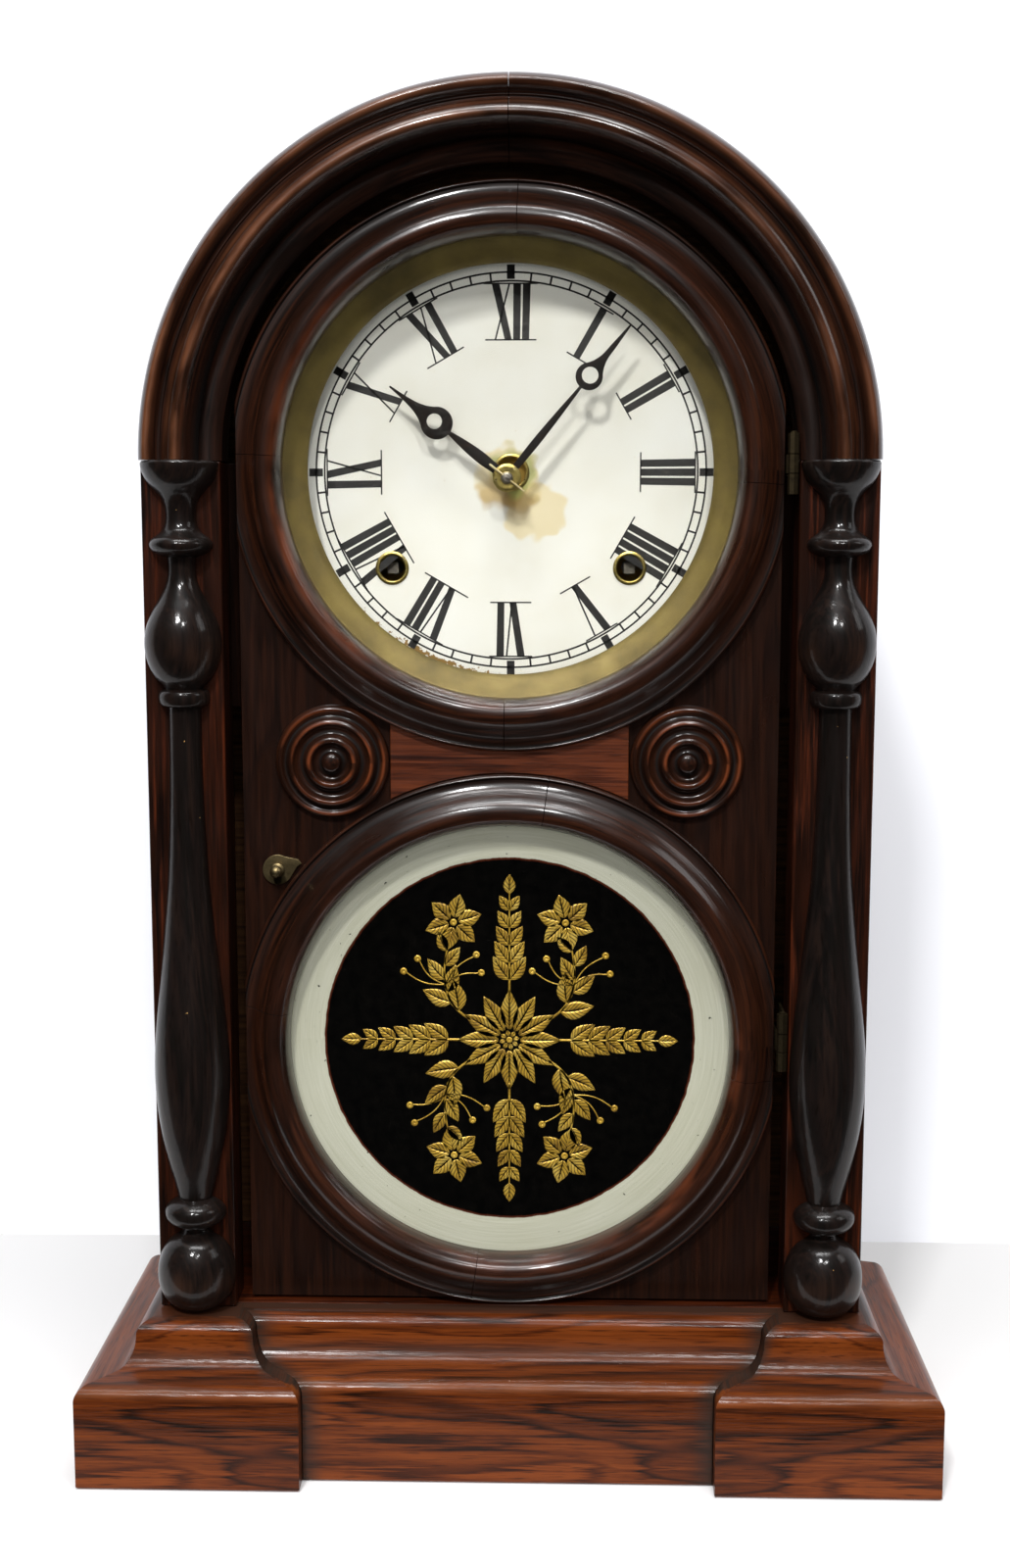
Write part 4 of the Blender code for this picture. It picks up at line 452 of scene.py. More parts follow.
def dialFinish():
    # off-white paint on sheet metal: faint yellowing, tan stains by the hub, chips along the lower rim
    made, tree, shader = newFinish("dial_paint")
    place = addNode(tree, "TexCoord").outputs["Object"]
    spot, radius = radiusFrom(tree, place, (0.0, 0.0, float(dialZ)))
    cloud = addNode(tree, "TexNoise", {"Vector": spot, "Scale": 0.035, "Detail": 5.0, "Roughness": 0.6}).outputs[0]
    colour = addNode(tree, "ValToRGB", {0: cloud}, stops=paintLook["tones"]).outputs[0]
    ragged = addNode(tree, "TexNoise", {"Vector": spot, "Scale": 0.11, "Detail": 6.0, "Roughness": 0.7}).outputs[0]
    wander = addNode(tree, "TexNoise", {"Vector": spot, "Scale": 0.13, "Detail": 1.5, "Roughness": 0.4}).outputs[0]
    for right, down, reach, soft, weight, tone in oilLook["drops"]:
        run = radiusFrom(tree, place, (right, 0.0, float(dialZ) - down))[1]
        run = addNode(tree, "Math", {0: wander, 1: oilLook["wander"], 2: run}, operation="MULTIPLY_ADD").outputs[0]
        edge = reach + oilLook["wander"] / 2
        run = addNode(tree, "MapRange", {0: run, 1: edge - soft, 2: edge, 3: weight, 4: 0.0}).outputs[0]
        colour = addNode(tree, "Mix", {0: run, 6: colour, 7: hexColour(tone)}, data_type="RGBA").outputs[2]
    right, down = paintLook["flakes"]
    low = radiusFrom(tree, place, (right, 0.0, float(dialZ) - down))[1]
    flake = addNode(tree, "TexNoise", {"Vector": spot, "Scale": 0.42, "Detail": 5.0, "Roughness": 0.65}).outputs[0]
    flake = addNode(tree, "Math", {0: low, 1: -0.006, 2: flake}, operation="MULTIPLY_ADD").outputs[0]
    rimFrom, rimTo = paintLook["rim"]
    outside = addNode(tree, "MapRange", {0: radius, 1: rimFrom, 2: rimTo, 3: -0.2, 4: 0.06}).outputs[0]
    flake = addNode(tree, "Math", {0: flake, 1: outside}, operation="ADD").outputs[0]
    flake = addNode(tree, "MapRange", {0: flake, 1: 0.47, 2: 0.5}).outputs[0]
    flakeTone, speckTone = hexColour(paintLook["flake"]), hexColour(paintLook["speck"])
    colour = addNode(tree, "Mix", {0: flake, 6: colour, 7: flakeTone}, data_type="RGBA").outputs[2]
    speck = addNode(tree, "TexNoise", {"Vector": spot, "Scale": 0.9, "Detail": 3.0}).outputs[0]
    speck = addNode(tree, "MapRange", {0: speck, 1: 0.71, 2: 0.75, 3: 0.0, 4: 0.5}).outputs[0]
    colour = addNode(tree, "Mix", {0: speck, 6: colour, 7: speckTone}, data_type="RGBA").outputs[2]
    smooth, dull = paintLook["rough"]
    rough = addNode(tree, "MapRange", {0: ragged, 1: 0.3, 2: 0.7, 3: smooth, 4: dull}).outputs[0]
    tree.links.new(colour, shader.inputs["Base Color"])
    tree.links.new(rough, shader.inputs["Roughness"])
    return made


# painting behind the tablet: radius of the black field, width of the line round it and its soft edge, in mm
tabletLook = {"black": 64.0, "edge": 0.7, "soft": (0.45, 0.75), "line": "#4A2114", "speck": "#1B1A17",
              "border": [(0.3, "#BBBBA8"), (0.5, "#C2C2B1"), (0.7, "#C9C9BA")]}


def tabletFinish():
    # reverse painting: black field, thin red-brown line, pale grey-green border with circular brush strokes
    made, tree, shader = newFinish("tablet_paint")
    place = addNode(tree, "TexCoord").outputs["Object"]
    spot, radius = radiusFrom(tree, place, (0.0, 0.0, float(tabletZ)))
    part = addNode(tree, "SeparateXYZ", {0: spot}).outputs
    angle = addNode(tree, "Math", {0: part[2], 1: part[0]}, operation="ARCTAN2").outputs[0]
    turned = addNode(tree, "CombineXYZ", {0: angle, 1: radius}).outputs[0]
    strokes = addNode(tree, "Mapping", {"Vector": turned, "Scale": (3.0, 1.6, 1.0)}).outputs[0]
    strokes = addNode(tree, "TexNoise", {"Vector": strokes, "Scale": 1.0, "Detail": 4.0}).outputs[0]
    pale = addNode(tree, "ValToRGB", {0: strokes}, stops=tabletLook["border"]).outputs[0]
    speck = addNode(tree, "TexNoise", {"Vector": spot, "Scale": 0.55, "Detail": 3.0}).outputs[0]
    speck = addNode(tree, "MapRange", {0: speck, 1: 0.7, 2: 0.73}).outputs[0]
    pale = addNode(tree, "Mix", {0: speck, 6: pale, 7: hexColour(tabletLook["speck"])}, data_type="RGBA").outputs[2]
    rim = addNode(tree, "TexNoise", {"Vector": spot, "Scale": 0.25, "Detail": 4.0}).outputs[0]
    ragged = addNode(tree, "Math", {0: rim, 1: 0.9, 2: radius}, operation="MULTIPLY_ADD").outputs[0]
    start, end = tabletLook["black"] + np.array(tabletLook["soft"])
    line = addNode(tree, "MapRange", {0: ragged, 1: start, 2: end}).outputs[0]
    start, end = start + tabletLook["edge"], end + tabletLook["edge"]
    red = addNode(tree, "MapRange", {0: ragged, 1: start, 2: end}).outputs[0]
    cloud = addNode(tree, "ValToRGB", {0: rim}, stops=[(0.3, "#040404"), (0.7, "#0A0908")]).outputs[0]
    colour = addNode(tree, "Mix", {0: line, 6: cloud, 7: hexColour(tabletLook["line"])}, data_type="RGBA").outputs[2]
    colour = addNode(tree, "Mix", {0: red, 6: colour, 7: pale}, data_type="RGBA").outputs[2]
    tree.links.new(colour, shader.inputs["Base Color"])
    shader.inputs["Roughness"].default_value = 0.6
    shader.inputs["Specular IOR Level"].default_value = 0.0
    return made


# leaf gold: half the spacing of the hatching and the width of its cut, in metres
leafLook = {"hatch": 0.00075, "cut": (0.00012, 0.00034), "line": "#1A1208",
            "tones": [(0.3, "#8C6A22"), (0.5, "#C09A34"), (0.7, "#D8B858")]}


def goldFinish():
    # leaf gold engraved with fine hatching: bright flats, dark brown lines across each leaf
    made, tree, shader = newFinish("gold_leaf")
    part = addNode(tree, "SeparateXYZ", {0: addNode(tree, "UVMap", uv_map="grain").outputs[0]}).outputs
    aside = addNode(tree, "Math", {0: part[1]}, operation="ABSOLUTE").outputs[0]
    slant = addNode(tree, "Math", {0: part[0], 1: aside}, operation="SUBTRACT").outputs[0]
    hatch = addNode(tree, "Math", {0: slant, 1: leafLook["hatch"]}, operation="PINGPONG").outputs[0]
    cutFrom, cutTo = leafLook["cut"]
    hatch = addNode(tree, "MapRange", {0: hatch, 1: cutFrom, 2: cutTo, 3: 0.85, 4: 0.0}).outputs[0]
    place = addNode(tree, "TexCoord").outputs["Object"]
    cloud = addNode(tree, "TexNoise", {"Vector": place, "Scale": 160.0, "Detail": 4.0}).outputs[0]
    colour = addNode(tree, "ValToRGB", {0: cloud}, stops=leafLook["tones"]).outputs[0]
    shade = addNode(tree, "Attribute", attribute_name="crest").outputs["Fac"]
    hatch = addNode(tree, "Math", {0: hatch, 1: shade}, operation="MULTIPLY").outputs[0]
    colour = addNode(tree, "Mix", {0: hatch, 6: colour, 7: hexColour(leafLook["line"])}, data_type="RGBA").outputs[2]
    tree.links.new(colour, shader.inputs["Base Color"])
    shader.inputs["Roughness"].default_value = 0.42
    shader.inputs["Metallic"].default_value = 0.35
    return made


def glassFinish():
    # old window glass: clear, faintly wavy, and it lets the lamps' light through to the dial
    made, tree, shader = newFinish("clear_glass")
    place = addNode(tree, "TexCoord").outputs["Object"]
    wave = addNode(tree, "TexNoise", {"Vector": place, "Scale": 28.0, "Detail": 1.0}).outputs[0]
    tint = addNode(tree, "ValToRGB", {0: wave}, stops=[(0.3, "#FBFAF6"), (0.7, "#FFFFFF")]).outputs[0]
    bump = addNode(tree, "Bump", {"Height": wave, "Strength": 0.05, "Distance": 0.0005}).outputs[0]
    tree.links.new(tint, shader.inputs["Base Color"])
    tree.links.new(bump, shader.inputs["Normal"])
    shader.inputs["Roughness"].default_value = 0.0
    shader.inputs["IOR"].default_value = 1.5
    shader.inputs["Transmission Weight"].default_value = 1.0
    through = addNode(tree, "BsdfTransparent", {"Color": hexColour("#F8F8F6")}).outputs[0]
    rays = addNode(tree, "LightPath").outputs
    pick = addNode(tree, "Math", {0: rays["Is Shadow Ray"], 1: rays["Is Diffuse Ray"]}, operation="MAXIMUM").outputs[0]
    both = addNode(tree, "MixShader", {0: pick, 1: shader.outputs[0], 2: through}).outputs[0]
    tree.links.new(both, tree.nodes["Material Output"].inputs["Surface"])
    return made


dialInk = inkFinish()
dialPaint = dialFinish()
tabletPaint = tabletFinish()
goldLeaf = goldFinish()
clearGlass = glassFinish()
print("stage: materials made")


# Base

baseLook = {"fascia": 0.036, "arris": 0.005, "step": 0.012, "rise": 0.0008, "cove": (0.006, 0.0107),
            "round": (0.006, 0.0045), "wall": 0.0287, "foot": 0.0006,
            # bands of the height: worn along the arris; painted shade in the cove and on the top strip under the door
            "worn": [(0.034, 0.0015, 0.4)], "hollow": [(0.0400, 0.0028, 0.6)], "landShade": 0.65}


def baseSection():
    # inset and height: fascia, quarter-round arris, sloping step, cove up to the vertical, rounded top edge
    s = baseLook
    a = np.radians(np.linspace(0, 90, 12))
    arris = np.c_[s["arris"] * (1 - np.cos(a)), s["fascia"] - s["arris"] * (1 - np.sin(a))]
    foot = s["fascia"] + s["rise"]
    cove = np.c_[s["step"] + s["cove"][0] * np.sin(a), foot + s["cove"][1] * (1 - np.cos(a))]
    lip = np.c_[s["step"] + s["cove"][0] + s["round"][0] * (1 - np.cos(a)),
                baseTop - s["round"][1] * (1 - np.sin(a))]
    start = [(s["foot"], 0.0), (0.0, s["foot"])]
    return np.vstack([start, arris, cove, lip[1:]])


def sweptPart(section, path, lean):
    # the section's inset follows the mitre direction at each corner of the path, its height stays upright
    path, lean = np.asarray(path, float), np.asarray(lean, float)
    parts = []
    way = lengthAlong(section)
    for i in range(len(path) - 1):
        level = np.r_[0, 0.008, 0.016, 0.03, 0.05, np.linspace(0.08, 0.92, 15), 0.95, 0.97, 0.984, 0.992, 1]
        share = level[:, None, None]
        ends = [np.c_[path[k] + section[:, :1] * lean[k], section[:, 1]] for k in (i, i + 1)]
        run = np.linalg.norm(path[i + 1] - path[i])
        points = ends[0] * (1 - share) + ends[1] * share
        parts.append(gridPart(points, along=0.31 * i + run * level, across=way + 0.05 * i))
    return parts


section = baseSection()
inset = section[-1, 0]
boardFront = centreHigh[1]


def basePart(path, lean, rim):
    # the section along the path, closed above and below through the rim, the plan points from its last end to its first
    parts = sweptPart(section, path, lean)
    path, lean, rim = np.asarray(path), np.asarray(lean), np.asarray(rim)
    for z, step in ((baseTop, inset), (0.0, section[0, 0])):
        plan = np.vstack([path + step * lean, rim])
        parts.append(capPart(np.c_[plan, np.full(len(plan), z)]))
    return parts


for side, sign in (("left", -1), ("right", 1)):
    inner, outer, front, back = blockLow[0], blockHigh[0], blockLow[1], blockHigh[1]
    wall = outer - baseLook["wall"]
    path = [(sign * inner, boardFront), (sign * inner, front), (sign * outer, front), (sign * outer, back)]
    lean = [(sign, 0), (sign, 1), (-sign, 1), (-sign, 0)]
    rim = [(sign * wall, back), (sign * wall, boardFront)]
    parts = basePart(path, lean, rim)
    edge = np.c_[sign * outer - sign * section[:, 0], np.full(len(section), back), section[:, 1]]
    parts.append(capPart(np.vstack([edge, [(sign * wall, back, baseTop), (sign * wall, back, 0)]])))
    edge = np.c_[sign * inner + sign * section[:, 0], np.full(len(section), boardFront), section[:, 1]]
    parts.append(capPart(np.vstack([edge, [(sign * wall, boardFront, baseTop), (sign * wall, boardFront, 0)]])))
    corners = [(boardFront, 0), (back, 0), (back, baseTop), (boardFront, baseTop)]
    parts.append(capPart([(sign * wall, y, z) for y, z in corners]))
    points = np.vstack([part[0] for part in parts])
    # darkening: dirt and painted shade in the inner corner by the front moulding, painted shade on the top towards the
    # pilasters and in the cove
    away = np.abs(points[:, 0]) - inner - np.interp(points[:, 2], section[:, 1], section[:, 0])
    grimeAndShade = np.clip(1 - away / 0.004, 0, 1) * (points[:, 1] > front + 0.006)
    highest = points[:, 2] > baseTop - 0.0006
    grimeAndShade = np.maximum(grimeAndShade, highest * np.clip(1 - (pilasterFront - points[:, 1]) / 0.02, 0, 0.7))
    grimeAndShade = np.maximum(grimeAndShade, bells(points[:, 2], baseLook["hollow"]))
    addPiece(f"block_{side}", parts, baseWood, "case", [f"base_moulding_{side}"],
             {"grimeAndShade": grimeAndShade, "crest": bells(points[:, 2], baseLook["worn"])})

half = centreHigh[0] - inset
path = [(half, boardFront), (half, centreLow[1]), (-half, centreLow[1]), (-half, boardFront)]
lean = [(1, 0), (1, 1), (-1, 1), (-1, 0)]
parts = basePart(path, lean, np.empty((0, 2)))
edge = np.c_[-half - section[:, 0], np.full(len(section), boardFront), section[:, 1]]
parts.append(capPart(np.vstack([edge, edge[::-1] * (-1, 1, 1)])))
points = np.vstack([part[0] for part in parts])
# darkening: dirt and painted shade at both ends by the blocks, painted shade on the top strip under the door and in the
# cove
away = half + np.interp(points[:, 2], section[:, 1], section[:, 0]) - np.abs(points[:, 0])
grimeAndShade = np.clip(1.1 - away / 0.007, 0, 1)
grimeAndShade = np.maximum(grimeAndShade, baseLook["landShade"] * (points[:, 2] > baseTop - 0.0002))
grimeAndShade = np.maximum(grimeAndShade, bells(points[:, 2], baseLook["hollow"]))
addPiece("front_moulding", parts, baseWood, "case", ["base_front_moulding"],
         {"grimeAndShade": grimeAndShade, "crest": bells(points[:, 2], baseLook["worn"])})
print("stage: base made")


# Arch, case and columns

archLook = {"steps": 120, "crest": 0.011, "depth": 0.0172, "seam": 0.00015, "fade": {"right": 0.6, "left": 1.0},
            # bands of the share from the opening to the case's edge
            "worn": [(0.5, 0.05, 0.8), (0.87, 0.05, 0.8), (0.62, 0.03, 0.4)],
            # dark bands are painted shade in the grooves; inside darkens the inner member as painted shade of the
            # recess by the door
            "dark": [(0.3, 0.02, 1.0), (0.7, 0.008, 0.7), (0.727, 0.008, 0.7)], "inside": 0.45,
            "shape": [(0.0, -0.42), (0.0, -0.42), (0.03, -0.32), (0.1, -0.2), (0.17, -0.15), (0.24, -0.18),
                      (0.285, -0.26), (0.285, -0.26), (0.31, 0.0), (0.34, 0.42), (0.4, 0.83), (0.48, 1.0),
                      (0.56, 0.93), (0.62, 0.74), (0.66, 0.58), (0.7, 0.52), (0.7, 0.52), (0.705, 0.56), (0.72, 0.57),
                      (0.725, 0.52), (0.725, 0.52), (0.75, 0.55), (0.78, 0.68), (0.82, 0.81), (0.87, 0.85),
                      (0.93, 0.74), (0.98, 0.47), (1.0, 0.2), (1.0, 0.2)]}
width = caseHalf - openingHalf
face = curveThrough([(openingHalf + width * t, archLook["crest"] * h) for t, h in archLook["shape"]], 5)
closing = np.array([(caseHalf, -archLook["depth"]), (openingHalf, -archLook["depth"])])
archSection = np.vstack([face, closing])
share = (archSection[:, 0] - openingHalf) / width
worn = bells(share, archLook["worn"]) * (archSection[:, 1] > -0.01)
# painted shade in the grooves and on the inner member
dark = np.clip(bells(share, archLook["dark"]) + archLook["inside"] * (share < 0.3), 0, 1)
for side, start in (("right", 0.0), ("left", 90.0)):
    seam = math.degrees(archLook["seam"] / caseHalf)
    low, high = (start, start + 90 - seam) if side == "right" else (start + seam, start + 90)
    part = turnedPart(archSection, (0, pilasterFront, springZ), steps=archLook["steps"],
                      start=math.radians(low), sweep=math.radians(high - low), closed=True)
    ends = part[0].reshape(archLook["steps"], -1, 3)
    parts = [part, capPart(ends[0]), capPart(ends[-1])]
    marks = {"crest": np.r_[np.tile(worn * archLook["fade"][side], archLook["steps"]), np.tile(worn, 2)],
             "grimeAndShade": np.tile(dark, archLook["steps"] + 2)}
    addPiece(f"arch_half_{side}", parts, archWood, "case", [f"arch_moulding_{side}"], marks)

hoopLook = {"steps": 100}
shellLow, shellHigh = spanOf("arch_shell")
sideLow = spanOf("side_right")[0]
hoop = [(caseHalf, -shellLow[1]), (caseHalf, -shellHigh[1]), (sideLow[0], -shellHigh[1]), (sideLow[0], -shellLow[1])]
part = turnedPart(hoop, (0, 0, springZ), steps=hoopLook["steps"], sweep=math.pi, closed=True)
ends = part[0].reshape(hoopLook["steps"], -1, 3)
addPiece("case_hoop", [part, capPart(ends[0]), capPart(ends[-1])], boardWood, "case", ["arch_shell"])

backLow, backHigh = spanOf("back_board")
edge = np.vstack([[(-caseHalf, backLow[2]), (caseHalf, backLow[2])],
                  circleLine(caseHalf, 97, (0, springZ), 0, 180, True)])
addPiece("back_panel", [flatPart([edge], backLow[1], backHigh[1], bevel=0.0005)], pineWood, "case",
         ["back_board"])

columnLook = {"steps": 49, "worn": [(0.0125, 0.004, 0.5), (0.231, 0.006, 0.4)], "sections": [
    # radius and height above the foot, in mm
    (0.0, 0.0), (5.4, 0.4), (9.4, 2.6), (12.6, 7.0), (13.7, 13.6), (12.6, 20.0), (9.6, 25.0), (5.2, 28.0), (5.2, 28.0),
    (4.4, 29.2), (4.6, 30.6), (4.6, 30.6), (8.6, 31.6), (10.6, 34.4), (10.4, 37.0), (8.2, 39.4), (5.9, 40.6),
    (5.9, 40.6), (6.6, 44.0), (8.9, 53.0), (11.2, 64.0), (12.8, 78.0), (13.0, 90.0), (12.0, 104.0), (10.2, 120.0),
    (8.4, 138.0), (6.9, 156.0), (6.0, 176.0), (5.6, 196.0), (5.5, 212.4), (5.5, 212.4), (8.0, 213.2), (8.7, 215.4),
    (8.1, 217.8), (6.4, 218.6), (6.4, 218.6), (7.0, 219.6), (9.4, 222.2), (12.0, 227.4), (13.0, 233.4),
    (12.4, 239.0), (10.2, 244.6), (7.2, 250.0), (5.1, 255.0), (4.6, 259.0), (4.8, 262.6), (4.8, 262.6),
    (8.4, 263.8), (10.3, 265.4), (10.7, 267.0), (10.0, 268.4), (8.2, 269.8), (6.3, 271.6), (5.4, 273.6), (5.1, 276.0),
    (5.2, 278.4), (5.8, 280.9), (7.1, 283.1), (8.8, 285.0), (10.6, 287.0), (12.2, 289.9), (13.0, 292.6), (13.0, 293.6),
    (12.6, 294.2), (12.6, 294.2), (0.0, 294.2)]}
profile = np.array(columnLook["sections"]) * 0.001
for side in ("left", "right"):
    low, high = spanOf(f"column_{side}")
    stretch = (high[2] - low[2]) / profile[:, 1].max()
    line = curveThrough(profile * (1, stretch), 5)
    line[:, 0] = np.maximum(line[:, 0], 0)
    place = ((low[0] + high[0]) / 2, high[1], low[2])
    part = turnedPart(line, place, True, columnLook["steps"], math.pi, math.pi)
    ends = part[0].reshape(columnLook["steps"], -1, 3)
    parts = [part, capPart(np.vstack([ends[0], ends[-1][-2:0:-1]]))]
    height = np.vstack([p[0] for p in parts])[:, 2] - low[2]
    addPiece(f"half_column_{side}", parts, ebonyWood, "case", [f"column_{side}"],
             {"crest": bells(height, columnLook["worn"])}, sharp=40)
print("stage: arch, case and columns made")


# Door rings, rosettes and glass

ringLook = {"lip": 0.0035, "steps": 240, "shape": [
    (0.0, 0.0), (0.0, 0.3), (0.0, 0.3), (0.02, 0.5), (0.08, 0.76), (0.18, 0.95), (0.3, 1.0), (0.42, 0.95), (0.54, 0.8),
    (0.66, 0.59), (0.76, 0.45), (0.86, 0.385), (0.92, 0.38), (0.92, 0.38), (0.93, 0.43), (0.955, 0.46), (0.98, 0.43),
    (1.0, 0.3), (1.0, 0.3), (1.0, 0.0)],
    "seams": {"dial": (88.2, 176.6, 268.9, 357.0), "tablet": (81.7, 172.0, 261.8, 352.0)}, "seamDip": 0.0003,
    "worst": {"dial": 205.0, "tablet": 310.0}, "worn": [(0.12, 0.12, 0.9), (0.96, 0.02, 0.5)],
    # dark bands are painted shade in the groove inside the outer bead and down the outer slope
    "dark": [(0.92, 0.02, 1.0), (0.8, 0.1, 0.4)]}
ringInner = glassRadius - ringLook["lip"]
ringHeight = ringHigh[1] - ringLow[1]
shape = curveThrough(ringLook["shape"], 5)
for name, middle in (("dial", dialZ), ("tablet", tabletZ)):
    # the turned section is carried round; where the circle passes the door's edge it is planed to that line;
    # each seam is a fine notch
    seams = np.array(ringLook["seams"][name])
    near = (seams[:, None] + np.array([-0.22, -0.1, 0.0, 0.1, 0.22])).ravel()
    angle = np.unique(np.r_[np.linspace(0, 360, ringLook["steps"], endpoint=False), near % 360])
    off = np.abs((angle[:, None] - seams + 180) % 360 - 180).min(1)
    notch = np.clip(1 - off / 0.1, 0, 1)
    turn = np.radians(angle)
    r = ringInner + (ringRadius - ringInner) * shape[:, 0]
    limit = ringHalf / np.maximum(np.abs(np.cos(turn)), 1e-6)
    radius = np.minimum(r, limit[:, None])
    height = np.interp((radius - ringInner) / (ringRadius - ringInner), shape[1:-1, 0], shape[1:-1, 1]) * ringHeight
    height[:, 0] = 0.0
    height[:, 1:] = np.minimum(height[:, 1:], shape[1:, 1] * ringHeight + (r[1:] > limit[:, None]) * ringHeight)
    height[:, -1] = 0.0
    height = height - notch[:, None] * ringLook["seamDip"] * (height > 0.001)
    points = np.stack([radius * np.cos(turn)[:, None], ringHigh[1] - height,
                       middle + radius * np.sin(turn)[:, None]], -1)
    way = lengthAlong(np.vstack([shape * (ringRadius - ringInner, ringHeight), shape[:1]]))
    part = gridPart(points, True, True, np.r_[turn, 2 * math.pi] * ringRadius, way)
    worn, dark = bells(shape[:, 0], ringLook["worn"]), bells(shape[:, 0], ringLook["dark"])
    # painted shade in the groove and on the outer slope, together with the dark seams
    grimeAndShade = np.maximum(np.tile(np.clip(dark, 0, 1), len(angle)), np.repeat(notch, len(shape)))
    # the finish is worn where hands and dust reach it: the lower left of the dial ring, the lower right of the other
    fade = 0.1 + 0.9 * np.clip(np.cos(turn - math.radians(ringLook["worst"][name])), 0, 1)
    addPiece(f"{name}_moulding", [part], darkWood, "door", [f"{name}_ring"],
             {"crest": (fade[:, None] * worn).ravel(), "grimeAndShade": grimeAndShade}, sharp=42)

rosetteLook = {"steps": 96, "shape": [
    (0.0, 1.0), (0.06, 0.985), (0.11, 0.95), (0.15, 0.88), (0.15, 0.88), (0.17, 0.62), (0.21, 0.5), (0.27, 0.48),
    (0.31, 0.55), (0.35, 0.8), (0.385, 0.9), (0.42, 0.88), (0.455, 0.76), (0.48, 0.55), (0.52, 0.42), (0.58, 0.4),
    (0.63, 0.48), (0.665, 0.7), (0.695, 0.8), (0.725, 0.77), (0.76, 0.6), (0.785, 0.42), (0.82, 0.33), (0.86, 0.36),
    (0.89, 0.44), (0.92, 0.46), (0.96, 0.38), (0.99, 0.24), (1.0, 0.12), (1.0, 0.12), (1.0, 0.0), (1.0, 0.0),
    (0.0, 0.0)], "worn": [(0.39, 0.03, 1.7), (0.7, 0.03, 1.7), (0.91, 0.03, 1.7)],
    # dark bands are painted shade in the three grooves
    "dark": [(0.2, 0.03, 1.0), (0.53, 0.03, 1.0), (0.81, 0.03, 1.0)]}
line = curveThrough(rosetteLook["shape"], 4)
line[:, 0] = np.clip(line[:, 0], 0, 1)
for side in ("left", "right"):
    low, high = spanOf(f"rosette_{side}")
    radius, rise = (high[0] - low[0]) / 2, high[1] - low[1]
    part = turnedPart(line * (radius, rise), ((low[0] + high[0]) / 2, high[1], (low[2] + high[2]) / 2),
                      steps=rosetteLook["steps"])
    marks = {"crest": np.tile(bells(line[:, 0], rosetteLook["worn"]), rosetteLook["steps"]),
             "grimeAndShade": np.tile(bells(line[:, 0], rosetteLook["dark"]), rosetteLook["steps"])}
    addPiece(f"turned_rosette_{side}", [part], darkWood, "door", [f"rosette_{side}"], marks, sharp=50)


def discPart(radius, front, back, middle, edge=0.0002, steps=128):
    # flat disc with a small rounded edge
    lines = [(0, -front), (radius - edge, -front), (radius, -front - edge), (radius, -back + edge),
             (radius - edge, -back), (0, -back)]
    return turnedPart(lines, (0, 0, middle), steps=steps)


addPiece("dial_pane", [discPart(glassRadius, glassLow[1], glassHigh[1], dialZ)], clearGlass, "door",
         ["dial_glass"])
paneLook = {"clear": 0.0014, "leaf": 0.00006, "paint": 0.0004}
paneBack = glassLow[1] + paneLook["clear"]
paintFront = glassHigh[1] - paneLook["paint"]
addPiece("tablet_pane", [discPart(glassRadius, glassLow[1], paneBack, tabletZ)], clearGlass, "door",
         ["tablet_glass"])
addPiece("tablet_painting", [discPart(glassRadius, paintFront, glassHigh[1], tabletZ, 0.00005)], tabletPaint, "door",
         ["tablet_glass"])

sightLow, sightHigh = spanOf("sight_ring")
sightLook = {"narrow": 0.0692, "wall": 0.0008, "flare": 0.005, "half": 0.52}
depth = sightHigh[1] - sightLow[1]
wide, wall, narrow = glassRadius, sightLook["wall"], sightLook["narrow"]
waist, seat = -depth * sightLook["half"], wide - 2 * wall
# a thin dish: from the narrow edge by the dial, flaring to a flat rim under the glass, and back one wall behind
cone = curveThrough([(narrow, -depth), (narrow, -depth), (narrow + 0.0003, -depth + 0.0006),
                     (narrow + sightLook["flare"], waist), (seat, -wall), (seat, -wall), (seat, 0), (seat, 0),
                     (wide, 0), (wide, 0), (wide, -wall), (wide, -wall), (wide - wall, -2 * wall),
                     (narrow + sightLook["flare"] + 1.5 * wall, waist), (narrow + wall, -depth),
                     (narrow + wall, -depth)], 4)
addPiece("dial_bezel", [turnedPart(cone, (0, sightLow[1], dialZ), steps=180, closed=True)], bezelBrass, "door",
         ["sight_ring"], sharp=40)
print("stage: door rings and glass made")


# Gold design on the tablet: a daisy with eight sprigs round it

goldLook = {
    # flowers: how many leaves, where they start from the centre, their length and half width
    "daisy": (12, 0.0036, 0.0145, 0.0031), "heart": (8, 0.0014, 0.0022, 0.0008), "blossom": (6, 0.0017, 0.0085, 0.0030),
    # sprigs: the stem's start and end from the centre, then the length and half width of the first leaves
    "sprig": (0.0155, 0.0435), "leaf": (0.0108, 0.0029), "upright": (0.0155, 0.0530), "barb": (0.0102, 0.0026),
    "point": (0.0070, 0.0021), "stem": 0.00032, "tendril": 0.0125, "bud": 0.0012, "eye": 0.0011, "gap": 0.00003}
leafY = paintFront - goldLook["gap"]
middle = np.array([0.0, float(tabletZ)])


